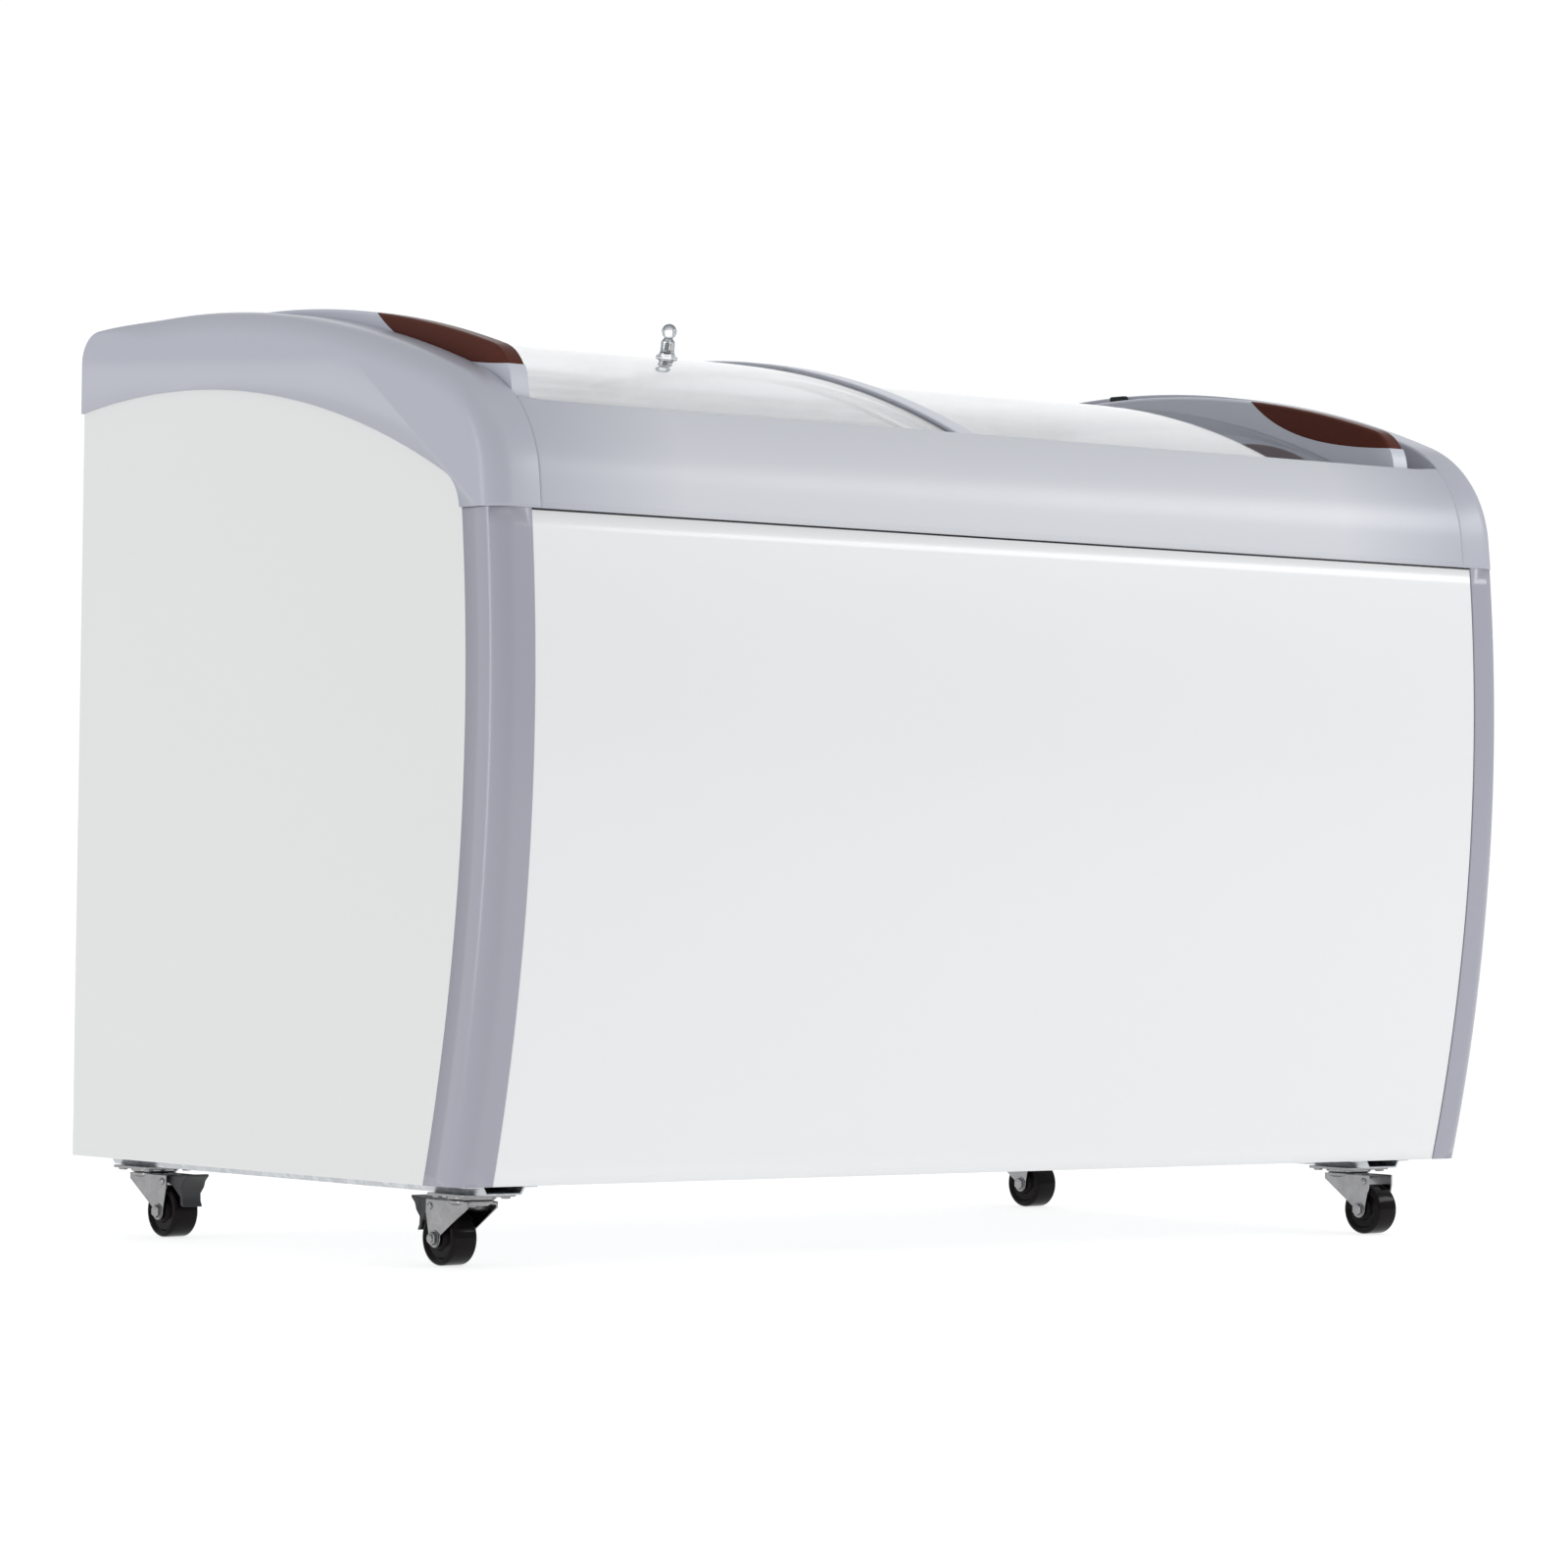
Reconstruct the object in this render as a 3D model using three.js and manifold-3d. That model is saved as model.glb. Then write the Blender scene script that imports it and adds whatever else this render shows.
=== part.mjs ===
// Curved-lid chest freezer on swivel casters.
// Millimetres. +X is the freezer's right, +Y its rear, +Z up. The origin is on the floor, under the middle.
import * as THREE from 'three'
import { mergeVertices } from 'three/addons/utils/BufferGeometryUtils.js'
import Module from 'manifold-3d'

const wasm = await Module()
wasm.setup()

// ---- driving dimensions ----
const BODY_HALF_WIDTH = 640            // to the outside of a steel side panel
const CAP_OVERHANG = 3                 // how far an end cap stands proud of the side panel
const BODY_BOTTOM = 76                 // underside of the cabinet above the floor
const SEAM_HEIGHT = 680                // top of the front panel, bottom of the front rail
const REAR_FACE = 340                  // rear of the caps and the rear rail
const SHEET = 2                        // steel sheet of the cabinet
const GAP = 0.3                        // clearance between pieces that touch

// Side view curves: centre (y, z) and radius of each arc.
const FRONT_ARC = { y: 1429, z: 500, radius: 1770 }
const CROWN_ARC = { y: 170, z: -353, radius: 1235 }
const PANEL_TOP_ARC = { y: 175, z: -221.6, radius: 1030 }
const LID_CENTRE = { y: 188, z: -185 }
const CROWN_FRONT_ROUND = 120          // radius from the crown down into the front
const RAIL_ROUND = 111                 // the same on the front rail, a little lower
const REAR_ROUND = 30
const PANEL_CORNER_ROUND = 40          // front top corner of the white side panel

// Corner posts and end caps.
const POST_FRONT_WIDTH = 40
const POST_SIDE_WIDTH = 50
const POST_CORNER_ROUND = 20
const SKIN = 3                         // moulded plastic wall
const CAP_INNER_FACE = 590             // inner wall of an end cap, towards the opening
const RAIL_REAR_EDGE = -290            // where the front rail ends over the lid track
const REAR_RAIL_EDGE = 291             // front edge of the rear rail
const RAIL_LIP = 8                     // the lip that each rail turns down beside its track
const REAR_PANEL_TOP = 806
const REAR_RAIL_BOTTOM = 797           // the rear rail laps this far down over the rear panel

// Lids.
const GLASS = 4
const UPPER_GLASS = 1060               // outer radius of the upper, left glass
const LOWER_GLASS = 1050               // outer radius of the lower, right glass
const GLASS_HALF_DEPTH = 284
const FRAME_WIDTH = 20
const FRAME_FRONT = -262               // the frame reaches below the glass between these two
const FRAME_REAR = 258
const FRAME_TOP_ARC = { y: 95, z: -357.5, radius: 1240 }
const FRAME_NOSE_ARC = { y: 1429, z: 500, radius: 1739.2 }
const FRAME_NOSE_ROUND = 45
const FRAME_NOSE_BOTTOM = 777
const LOWER_LID_DROP = 11              // the right lid's frame sits this much lower
const LEFT_LID = { outer: -590, inner: 0, glass: UPPER_GLASS, drop: 0 }
const RIGHT_LID = { outer: 552, inner: -63, glass: LOWER_GLASS, drop: LOWER_LID_DROP }
const EDGE_TRIM_WIDTH = 25
const SLOT_DEPTH = 6                   // how far the glass goes into a frame

// Inside.
const LINER = { halfWidth: 585, front: -270, rear: 276, floor: 140, wall: 2, rimRadius: 1030 }
const STEP = { left: 348, floor: 422 } // the liner steps up over the machine space
const MACHINE = { left: 398, front: -262, top: 372 }
const BASKETS = [
  { name: 'floor_basket', left: -572, right: -172, bottom: 143, top: 470 },
  { name: 'step_basket', left: 356, right: 576, bottom: 425, top: 640 },
]
const BASKET_DEPTH = { front: -262, rear: 268 }
const BASKET_WALL = 4
const BASKET_CORNER = 20

// Casters: swivel axes, and which way each one trails (1 is to the rear, -1 to the front).
const CHANNELS = [{ name: 'left_base_channel', x: -578 }, { name: 'right_base_channel', x: 540 }]
const CHANNEL = { web: 40, depth: 8.2, flange: 14, wall: 1.5, front: -276, rear: 326 }
const FRONT_AXIS = -228
const REAR_AXIS = 286
const CASTERS = [
  { name: 'front_left', x: -578, y: FRONT_AXIS, trails: 1, brake: true },
  { name: 'rear_left', x: -578, y: REAR_AXIS, trails: -1, brake: true },
  { name: 'front_right', x: 540, y: FRONT_AXIS, trails: -1, brake: false },
  { name: 'rear_right', x: 540, y: REAR_AXIS, trails: -1, brake: false },
]
const WHEEL_RADIUS = 25
const WHEEL_WIDTH = 28
const WHEEL_SIDES = 20                 // a flat of the wheel lies on the floor
const TRAIL = 32
const CASTER_TOP = 67.2
const FORK_INNER = 15.5
const FORK_SHEET = 2

const ARC_STEPS = 6                    // curve divisions; an arc gets twice as many chords
const CORNER_STEPS = 3                 // the same for small round corners in plan
const LID_STEPS = 7                    // the same for the long lid curves
const UNIT_X = new THREE.Vector3(1, 0, 0)
const UNIT_Y = new THREE.Vector3(0, 1, 0)
const UNIT_Z = new THREE.Vector3(0, 0, 1)

// ---- materials ----
function finish(color, roughness, metalness = 0, opacity = 1) {
  return new THREE.MeshStandardMaterial({ color, roughness, metalness, opacity, transparent: opacity < 1 })
}
const WHITE_STEEL = finish(0xe6e8e7, 0.35)
const FRONT_STEEL = finish(0xf1f2f3, 0.3)
const GREY_PLASTIC = finish(0xa9afbd, 0.45)
const SILVER_RAIL = finish(0xc8cdd6, 0.4)
const BROWN_PLASTIC = finish(0x4b2418, 0.45)
const CLEAR_GLASS = finish(0xdfe8ec, 0.05, 0, 0.3)
const CLEAR_PLASTIC = finish(0xf0f3f5, 0.1, 0, 0.4)
const BLACK_RUBBER = finish(0x141414, 0.8)
const BLACK_PLASTIC = finish(0x17171a, 0.4)
const ZINC = finish(0x9b9fa3, 0.35, 1)
const ALUMINIUM = finish(0xc3c7cb, 0.35, 1)
const LINER_WHITE = finish(0xeceeef, 0.4)
const FOAM = finish(0xe8dcae, 0.95)
const BLACK_STEEL = finish(0x1c1d1f, 0.45, 0.3)
const COPPER = finish(0xb87447, 0.35, 1)
const WIRE_WHITE = finish(0xf4f4f2, 0.4)

// ---- solids ----
function toSolid(geometry) {
  const bare = geometry.clone()
  bare.deleteAttribute('normal')
  bare.deleteAttribute('uv')
  const merged = mergeVertices(bare, 1e-4)
  const mesh = new wasm.Mesh({
    numProp: 3,
    vertProperties: new Float32Array(merged.attributes.position.array),
    triVerts: new Uint32Array(merged.index.array),
  })
  return new wasm.Manifold(mesh)
}

function toGeometry(solid) {
  const mesh = solid.getMesh()
  const geometry = new THREE.BufferGeometry()
  geometry.setAttribute('position', new THREE.BufferAttribute(mesh.vertProperties, 3))
  geometry.setIndex(new THREE.BufferAttribute(mesh.triVerts, 1))
  geometry.computeVertexNormals()
  return geometry
}

function join(first, ...others) {
  return toGeometry(others.reduce((sum, other) => sum.add(toSolid(other)), toSolid(first)))
}

function cut(base, ...tools) {
  return toGeometry(tools.reduce((rest, tool) => rest.subtract(toSolid(tool)), toSolid(base)))
}

function common(first, second) {
  return toGeometry(toSolid(first).intersect(toSolid(second)))
}

function block(x0, x1, y0, y1, z0, z1) {
  const box = new THREE.BoxGeometry(x1 - x0, y1 - y0, z1 - z0)
  return box.translate((x0 + x1) / 2, (y0 + y1) / 2, (z0 + z1) / 2)
}

/** A rod along Z from z0 to z1. */
function rodZ(radius, x, y, z0, z1, sides = 20) {
  const rod = new THREE.CylinderGeometry(radius, radius, z1 - z0, sides)
  return rod.rotateX(Math.PI / 2).translate(x, y, (z0 + z1) / 2)
}

/** A rod along Y from y0 to y1. */
function rodY(radius, x, z, y0, y1, sides = 20) {
  return new THREE.CylinderGeometry(radius, radius, y1 - y0, sides).translate(x, (y0 + y1) / 2, z)
}

/** A rod along X from x0 to x1. */
function rodX(radius, y, z, x0, x1, sides = 16) {
  const rod = new THREE.CylinderGeometry(radius, radius, x1 - x0, sides)
  return rod.rotateZ(Math.PI / 2).translate((x0 + x1) / 2, y, z)
}

/** Extrudes a side-view outline (y, z) along X. */
function alongX(outline, x0, x1, curveSegments = ARC_STEPS) {
  const geometry = new THREE.ExtrudeGeometry(outline, { depth: x1 - x0, bevelEnabled: false, curveSegments })
  const sideView = new THREE.Matrix4().makeBasis(UNIT_Y, UNIT_Z, UNIT_X)
  return geometry.applyMatrix4(sideView).translate(x0, 0, 0)
}

/** Extrudes a front-view outline (x, z) along Y. */
function alongY(outline, y0, y1, curveSegments = ARC_STEPS) {
  const geometry = new THREE.ExtrudeGeometry(outline, { depth: y1 - y0, bevelEnabled: false, curveSegments })
  return geometry.rotateX(Math.PI / 2).translate(0, y1, 0)
}

/** Extrudes a plan (x, y) upwards. */
function upright(plan, z0, z1, steps = 1) {
  const options = { depth: z1 - z0, steps, bevelEnabled: false, curveSegments: CORNER_STEPS }
  return new THREE.ExtrudeGeometry(plan, options).translate(0, 0, z0)
}

// ---- side-view curves ----
function point(y, z) {
  return { y, z }
}

function heightOn(arc, y, inset = 0) {
  return arc.z + Math.sqrt((arc.radius - inset) ** 2 - (y - arc.y) ** 2)
}

function frontOn(arc, z, inset = 0) {
  return arc.y - Math.sqrt((arc.radius - inset) ** 2 - (z - arc.z) ** 2)
}

/** The upper front crossing of two circles. */
function crossing(a, radiusA, b, radiusB, side = 1) {
  const distance = Math.hypot(b.y - a.y, b.z - a.z)
  const uy = (b.y - a.y) / distance
  const uz = (b.z - a.z) / distance
  const along = (radiusA ** 2 - radiusB ** 2 + distance ** 2) / (2 * distance)
  const off = side * Math.sqrt(radiusA ** 2 - along ** 2)
  return point(a.y + along * uy + off * uz, a.z + along * uz - off * uy)
}

/** The point of an arc straight out from its centre through another point. */
function outTo(arc, through, inset = 0) {
  const reach = (arc.radius - inset) / Math.hypot(through.y - arc.y, through.z - arc.z)
  return point(arc.y + (through.y - arc.y) * reach, arc.z + (through.z - arc.z) * reach)
}

/** The round that rolls inside both a front arc and a top arc. */
function innerRound(front, top, radius) {
  const centre = crossing(front, front.radius - radius, top, top.radius - radius)
  return { y: centre.y, z: centre.z, radius }
}

function arcTo(outline, centre, from, to, clockwise) {
  const radius = Math.hypot(from.y - centre.y, from.z - centre.z)
  const start = Math.atan2(from.z - centre.z, from.y - centre.y)
  const end = Math.atan2(to.z - centre.z, to.y - centre.y)
  outline.absarc(centre.y, centre.z, radius, start, end, clockwise)
}

const CROWN_ROUND = innerRound(FRONT_ARC, CROWN_ARC, CROWN_FRONT_ROUND)
const REAR_CORNER = {
  y: REAR_FACE - REAR_ROUND,
  z: heightOn({ ...CROWN_ARC, radius: CROWN_ARC.radius - REAR_ROUND }, REAR_FACE - REAR_ROUND),
  radius: REAR_ROUND,
}
const POST_REAR_ARC = { ...FRONT_ARC, radius: FRONT_ARC.radius - POST_SIDE_WIDTH }
const PANEL_CORNER = innerRound(POST_REAR_ARC, PANEL_TOP_ARC, PANEL_CORNER_ROUND)

/** Draws the outer curve from a height on the front, over the crown, to the rear face. */
function drawCrown(outline, startHeight, inset) {
  const start = point(frontOn(FRONT_ARC, startHeight, inset), startHeight)
  const frontTangent = outTo(FRONT_ARC, CROWN_ROUND, inset)
  const crownTangent = outTo(CROWN_ARC, CROWN_ROUND, inset)
  const rearTangent = outTo(CROWN_ARC, REAR_CORNER, inset)
  const rearTop = point(REAR_FACE - inset, REAR_CORNER.z)
  arcTo(outline, FRONT_ARC, start, frontTangent, true)
  arcTo(outline, CROWN_ROUND, frontTangent, crownTangent, true)
  arcTo(outline, CROWN_ARC, crownTangent, rearTangent, true)
  arcTo(outline, REAR_CORNER, rearTangent, rearTop, true)
}

/** Draws the boundary between cap and side panel from the rear to the seam at the post. */
function drawPanelEdge(outline, rearY, raise = 0) {
  const top = { ...PANEL_TOP_ARC, radius: PANEL_TOP_ARC.radius + raise }
  const topTangent = outTo(top, PANEL_CORNER)
  const postTangent = outTo(POST_REAR_ARC, PANEL_CORNER, -raise)
  const seam = point(frontOn(POST_REAR_ARC, SEAM_HEIGHT, -raise), SEAM_HEIGHT)
  arcTo(outline, PANEL_TOP_ARC, point(rearY, heightOn(top, rearY)), topTangent, false)
  arcTo(outline, PANEL_CORNER, topTangent, postTangent, false)
  arcTo(outline, FRONT_ARC, postTangent, seam, false)
}

/** Everything below an arc about the lids' centre. */
function belowLidArc(radius, x0, x1, floor) {
  const reach = 350
  const arc = { ...LID_CENTRE, radius }
  const outline = new THREE.Shape()
  arcTo(outline, arc, point(-reach, heightOn(arc, -reach)), point(reach, heightOn(arc, reach)), true)
  outline.lineTo(reach, floor)
  outline.lineTo(-reach, floor)
  return alongX(outline, x0, x1, LID_STEPS)
}

/** A curved strip concentric with the lids, from y0 to y1. */
function lidBand(innerRadius, outerRadius, y0, y1, x0, x1, curveSegments = ARC_STEPS) {
  const inner = { ...LID_CENTRE, radius: innerRadius }
  const outer = { ...LID_CENTRE, radius: outerRadius }
  const outline = new THREE.Shape()
  arcTo(outline, outer, point(y0, heightOn(outer, y0)), point(y1, heightOn(outer, y1)), true)
  arcTo(outline, inner, point(y1, heightOn(inner, y1)), point(y0, heightOn(inner, y0)), false)
  return alongX(outline, x0, x1, curveSegments)
}

/** Shifts each level of an upright shape back or forward, so its front follows the bowed front. */
function followFront(geometry) {
  const position = geometry.attributes.position
  for (let i = 0; i < position.count; i += 1) {
    position.setY(i, position.getY(i) + frontOn(FRONT_ARC, position.getZ(i)))
  }
  return geometry
}

/** A plan with two round front corners; its front line is at y = front. */
function roundedPlan(halfWidth, front, rear, radius) {
  const plan = new THREE.Shape()
  plan.moveTo(-halfWidth, rear)
  plan.lineTo(-halfWidth, front + radius)
  plan.absarc(radius - halfWidth, front + radius, radius, Math.PI, 1.5 * Math.PI, false)
  plan.absarc(halfWidth - radius, front + radius, radius, 1.5 * Math.PI, 2 * Math.PI, false)
  plan.lineTo(halfWidth, rear)
  return plan
}

/** A plan rectangle with four round corners. */
function roundedBox(x0, x1, y0, y1, radius) {
  const plan = new THREE.Shape()
  plan.absarc(x0 + radius, y0 + radius, radius, Math.PI, 1.5 * Math.PI, false)
  plan.absarc(x1 - radius, y0 + radius, radius, 1.5 * Math.PI, 2 * Math.PI, false)
  plan.absarc(x1 - radius, y1 - radius, radius, 0, 0.5 * Math.PI, false)
  plan.absarc(x0 + radius, y1 - radius, radius, 0.5 * Math.PI, Math.PI, false)
  return plan
}

/** A closed ring or solid of revolution about Z; the profile is a list of [radius, height]. */
function turned(profile, segments = 24) {
  const points = profile.map(([radius, height]) => new THREE.Vector2(radius, height))
  return new THREE.LatheGeometry(points, segments).rotateX(Math.PI / 2)
}

function mirrorX(geometry) {
  return toGeometry(toSolid(geometry).mirror([1, 0, 0]))
}

// ---- the assembly ----
const freezer = new THREE.Group()

function add(name, geometry, material, parent = freezer) {
  const mesh = new THREE.Mesh(geometry, material)
  mesh.name = name
  parent.add(mesh)
  return mesh
}

// ---- cabinet ----
const PANEL_LAP = 10                   // how far the side panel goes up under the cap
const PANEL_REAR = REAR_FACE - CAP_OVERHANG

function sidePanel() {
  const outline = new THREE.Shape()
  const bottom = point(frontOn(POST_REAR_ARC, BODY_BOTTOM), BODY_BOTTOM)
  const seam = point(frontOn(POST_REAR_ARC, SEAM_HEIGHT), SEAM_HEIGHT)
  arcTo(outline, FRONT_ARC, bottom, seam, true)
  outline.lineTo(seam.y, SEAM_HEIGHT + PANEL_CORNER_ROUND)
  outline.lineTo(PANEL_CORNER.y, heightOn(PANEL_TOP_ARC, PANEL_CORNER.y) + PANEL_LAP)
  const lap = { ...PANEL_TOP_ARC, radius: PANEL_TOP_ARC.radius + PANEL_LAP }
  const start = point(PANEL_CORNER.y + 20, heightOn(lap, PANEL_CORNER.y + 20))
  arcTo(outline, PANEL_TOP_ARC, start, point(PANEL_REAR, heightOn(lap, PANEL_REAR)), true)
  outline.lineTo(PANEL_REAR, BODY_BOTTOM)
  return alongX(outline, BODY_HALF_WIDTH - SHEET, BODY_HALF_WIDTH)
}

function frontPanel() {
  const half = BODY_HALF_WIDTH - POST_FRONT_WIDTH - 0.5
  const recess = 1
  const plan = new THREE.Shape()
  plan.moveTo(-half, recess)
  plan.lineTo(half, recess)
  plan.lineTo(half, recess + SHEET)
  plan.lineTo(-half, recess + SHEET)
  return followFront(upright(plan, BODY_BOTTOM, SEAM_HEIGHT - GAP, 12))
}

function cornerPost() {
  const outer = BODY_HALF_WIDTH
  const inner = BODY_HALF_WIDTH - POST_FRONT_WIDTH
  const radius = POST_CORNER_ROUND
  const wall = SKIN - GAP
  const plan = new THREE.Shape()
  plan.moveTo(inner, 0)
  plan.absarc(outer - radius, radius, radius, 1.5 * Math.PI, 2 * Math.PI, false)
  plan.lineTo(outer, POST_SIDE_WIDTH - GAP)
  plan.lineTo(outer - wall, POST_SIDE_WIDTH - GAP)
  plan.absarc(outer - radius, radius, radius - wall, 2 * Math.PI, 1.5 * Math.PI, true)
  plan.lineTo(inner, wall)
  return followFront(upright(plan, BODY_BOTTOM, SEAM_HEIGHT - GAP, 12))
}

/** A column with the plan's round front corners, used to round the caps and trim the foam. */
function frontColumn(halfWidth, inset, radius, bottom, top) {
  return followFront(upright(roundedPlan(halfWidth, inset, 700, radius), bottom, top, 9))
}

function endCap() {
  const outer = BODY_HALF_WIDTH + CAP_OVERHANG
  const skin = new THREE.Shape()
  drawCrown(skin, SEAM_HEIGHT, 0)
  drawPanelEdge(skin, REAR_FACE)
  const hollow = new THREE.Shape()
  drawCrown(hollow, BODY_BOTTOM + 500, SKIN)
  hollow.lineTo(REAR_FACE - SKIN, BODY_BOTTOM + 500)
  const shell = cut(
    alongX(skin, CAP_INNER_FACE, outer, LID_STEPS),
    alongX(hollow, CAP_INNER_FACE + SKIN, BODY_HALF_WIDTH + GAP, LID_STEPS),
    belowLidArc(LINER.rimRadius + 1, CAP_INNER_FACE - 5, CAP_INNER_FACE + SKIN + 1, BODY_BOTTOM + 400),
  )
  return common(shell, frontColumn(outer, 0, POST_CORNER_ROUND + CAP_OVERHANG, 640, 900))
}

function frontRail() {
  const reach = FRONT_ARC.radius - RAIL_ROUND
  const centre = outTo({ ...FRONT_ARC, radius: reach }, CROWN_ROUND)
  const round = { ...centre, radius: RAIL_ROUND }
  const outline = new THREE.Shape()
  const start = point(frontOn(FRONT_ARC, SEAM_HEIGHT), SEAM_HEIGHT)
  const tangent = outTo(FRONT_ARC, round)
  const edge = point(RAIL_REAR_EDGE, heightOn(round, RAIL_REAR_EDGE))
  arcTo(outline, FRONT_ARC, start, tangent, true)
  arcTo(outline, round, tangent, edge, true)
  outline.lineTo(edge.y, edge.z - RAIL_LIP)
  outline.lineTo(edge.y - SKIN, edge.z - RAIL_LIP)
  const innerEdge = point(edge.y - SKIN, heightOn(round, edge.y - SKIN, SKIN))
  arcTo(outline, round, innerEdge, outTo(FRONT_ARC, round, SKIN), false)
  const innerStart = point(frontOn(FRONT_ARC, SEAM_HEIGHT, SKIN), SEAM_HEIGHT)
  arcTo(outline, FRONT_ARC, outTo(FRONT_ARC, round, SKIN), innerStart, false)
  return alongX(outline, GAP - CAP_INNER_FACE, CAP_INNER_FACE - GAP)
}

function rearRail() {
  const outline = new THREE.Shape()
  const start = point(REAR_RAIL_EDGE, heightOn(CROWN_ARC, REAR_RAIL_EDGE))
  const rearTop = point(REAR_FACE, REAR_CORNER.z)
  const wall = CAP_OVERHANG - GAP
  arcTo(outline, CROWN_ARC, start, outTo(CROWN_ARC, REAR_CORNER), true)
  arcTo(outline, REAR_CORNER, outTo(CROWN_ARC, REAR_CORNER), rearTop, true)
  outline.lineTo(REAR_FACE, REAR_RAIL_BOTTOM)
  outline.lineTo(REAR_FACE - wall, REAR_RAIL_BOTTOM)
  const innerTop = point(REAR_FACE - wall, REAR_CORNER.z)
  arcTo(outline, REAR_CORNER, innerTop, outTo(CROWN_ARC, REAR_CORNER, wall), false)
  const innerEdge = point(REAR_RAIL_EDGE + wall, heightOn(CROWN_ARC, REAR_RAIL_EDGE + wall, wall))
  outline.lineTo(innerEdge.y, innerEdge.z)
  outline.lineTo(REAR_RAIL_EDGE + wall, start.z - RAIL_LIP)
  outline.lineTo(REAR_RAIL_EDGE, start.z - RAIL_LIP)
  return alongX(outline, GAP - CAP_INNER_FACE, CAP_INNER_FACE - GAP)
}

/** Lid track: a back wall with a foot, two shelves that the glasses slide on and a lip over them. */
function lidTrack(backWall, shelfEnd, lipEnd) {
  const x0 = GAP - CAP_INNER_FACE
  const x1 = CAP_INNER_FACE - GAP
  const side = Math.sign(shelfEnd - backWall)
  const wall = 2.6
  const span = (end) => [Math.min(backWall, end), Math.max(backWall, end)]
  const foot = LINER.rimRadius + 0.6
  const back = lidBand(foot, UPPER_GLASS + 3.5, ...span(backWall + side * wall), x0, x1, 1)
  const shelves = [
    lidBand(foot, foot + 2.4, ...span(shelfEnd), x0, x1, 1),
    lidBand(LOWER_GLASS - 9, LOWER_GLASS - 6.7, ...span(shelfEnd), x0, x1, 1),
    lidBand(LOWER_GLASS + 1.6, LOWER_GLASS + 4.2, ...span(shelfEnd), x0, x1, 1),
    lidBand(UPPER_GLASS + 1.5, UPPER_GLASS + 3.5, ...span(lipEnd), x0, x1, 1),
  ]
  return join(back, ...shelves)
}

const VENT = { x0: 410, x1: 610, z0: 100, z1: 350, frame: 12 }
const GLAND = { x: 440, z: 122, radius: 11, bore: 4.5, flange: 15, front: 326, rear: 341.3 }
const CONTROL = { x: 580, z: 322, half: 24, front: 305, floor: 322 }

function rearPanel() {
  const half = BODY_HALF_WIDTH - SHEET - GAP
  const sheet = block(-half, half, PANEL_REAR - SHEET, PANEL_REAR, BODY_BOTTOM, REAR_PANEL_TOP)
  return cut(sheet, block(VENT.x0, VENT.x1, 300, 400, VENT.z0, VENT.z1))
}

function basePan() {
  const front = frontOn(FRONT_ARC, BODY_BOTTOM) + SKIN + 1
  const rear = PANEL_REAR - SHEET - GAP
  const rounded = roundedPlan(BODY_HALF_WIDTH - SKIN - GAP, front, rear, POST_CORNER_ROUND)
  return cut(upright(rounded, BODY_BOTTOM, BODY_BOTTOM + SHEET), drainBore())
}

const DRAIN = { x: -80, y: -150, radius: 11 }

function drainBore() {
  return rodZ(DRAIN.radius + GAP, DRAIN.x, DRAIN.y, 60, LINER.floor + 20)
}

function linerEnvelope(inset) {
  const { front, rear, floor } = LINER
  const half = LINER.halfWidth - inset
  return join(
    block(-half, STEP.left - inset, front + inset, rear - inset, floor + inset, 900),
    block(-half, half, front + inset, rear - inset, STEP.floor + inset, 900),
  )
}

function innerLiner() {
  const shell = cut(linerEnvelope(0), linerEnvelope(LINER.wall), drainBore())
  return common(shell, belowLidArc(LINER.rimRadius, -600, 600, 100))
}

function foam() {
  const inset = SKIN + 1 + GAP
  const bottom = BODY_BOTTOM + SHEET + GAP
  const column = frontColumn(BODY_HALF_WIDTH - SHEET - 2, inset, POST_CORNER_ROUND, bottom, 860)
  const body = common(column, belowLidArc(LINER.rimRadius, -660, 660, 60))
  const rearTrim = block(-660, 660, PANEL_REAR - SHEET - GAP, 500, 0, 900)
  const machine = block(MACHINE.left, 660, MACHINE.front, 500, 0, MACHINE.top)
  return cut(body, rearTrim, machine, linerEnvelope(-GAP), drainBore())
}

function drainPlug() {
  const lip = DRAIN.radius + 6
  const profile = [
    [0, 68], [lip, 68], [lip, BODY_BOTTOM - GAP], [DRAIN.radius, BODY_BOTTOM - GAP],
    [DRAIN.radius, LINER.floor + 1], [DRAIN.radius - 3, LINER.floor + 1], [DRAIN.radius - 3, 74], [0, 74],
  ]
  return turned(profile, 16).translate(DRAIN.x, DRAIN.y, 0)
}

function baseChannel(x) {
  const { web, depth, flange, wall } = CHANNEL
  const top = BODY_BOTTOM - GAP
  const outline = new THREE.Shape()
  const half = web / 2
  const slope = 4
  outline.moveTo(x - half - slope - flange, top)
  outline.lineTo(x - half - slope - flange, top - wall)
  outline.lineTo(x - half - slope, top - wall)
  outline.lineTo(x - half, top - depth)
  outline.lineTo(x + half, top - depth)
  outline.lineTo(x + half + slope, top - wall)
  outline.lineTo(x + half + slope + flange, top - wall)
  outline.lineTo(x + half + slope + flange, top)
  outline.lineTo(x + half + slope - wall, top)
  outline.lineTo(x + half - wall, top - depth + wall)
  outline.lineTo(x - half + wall, top - depth + wall)
  outline.lineTo(x - half - slope + wall, top)
  return alongY(outline, CHANNEL.front, CHANNEL.rear)
}

function basket({ left, right, bottom, top }) {
  const { front, rear } = BASKET_DEPTH
  const wall = BASKET_WALL
  const outer = upright(roundedBox(left, right, front, rear, BASKET_CORNER), bottom, top)
  const inner = upright(
    roundedBox(left + wall, right - wall, front + wall, rear - wall, BASKET_CORNER - wall),
    bottom + wall, top + 1,
  )
  return cut(outer, inner)
}

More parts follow.
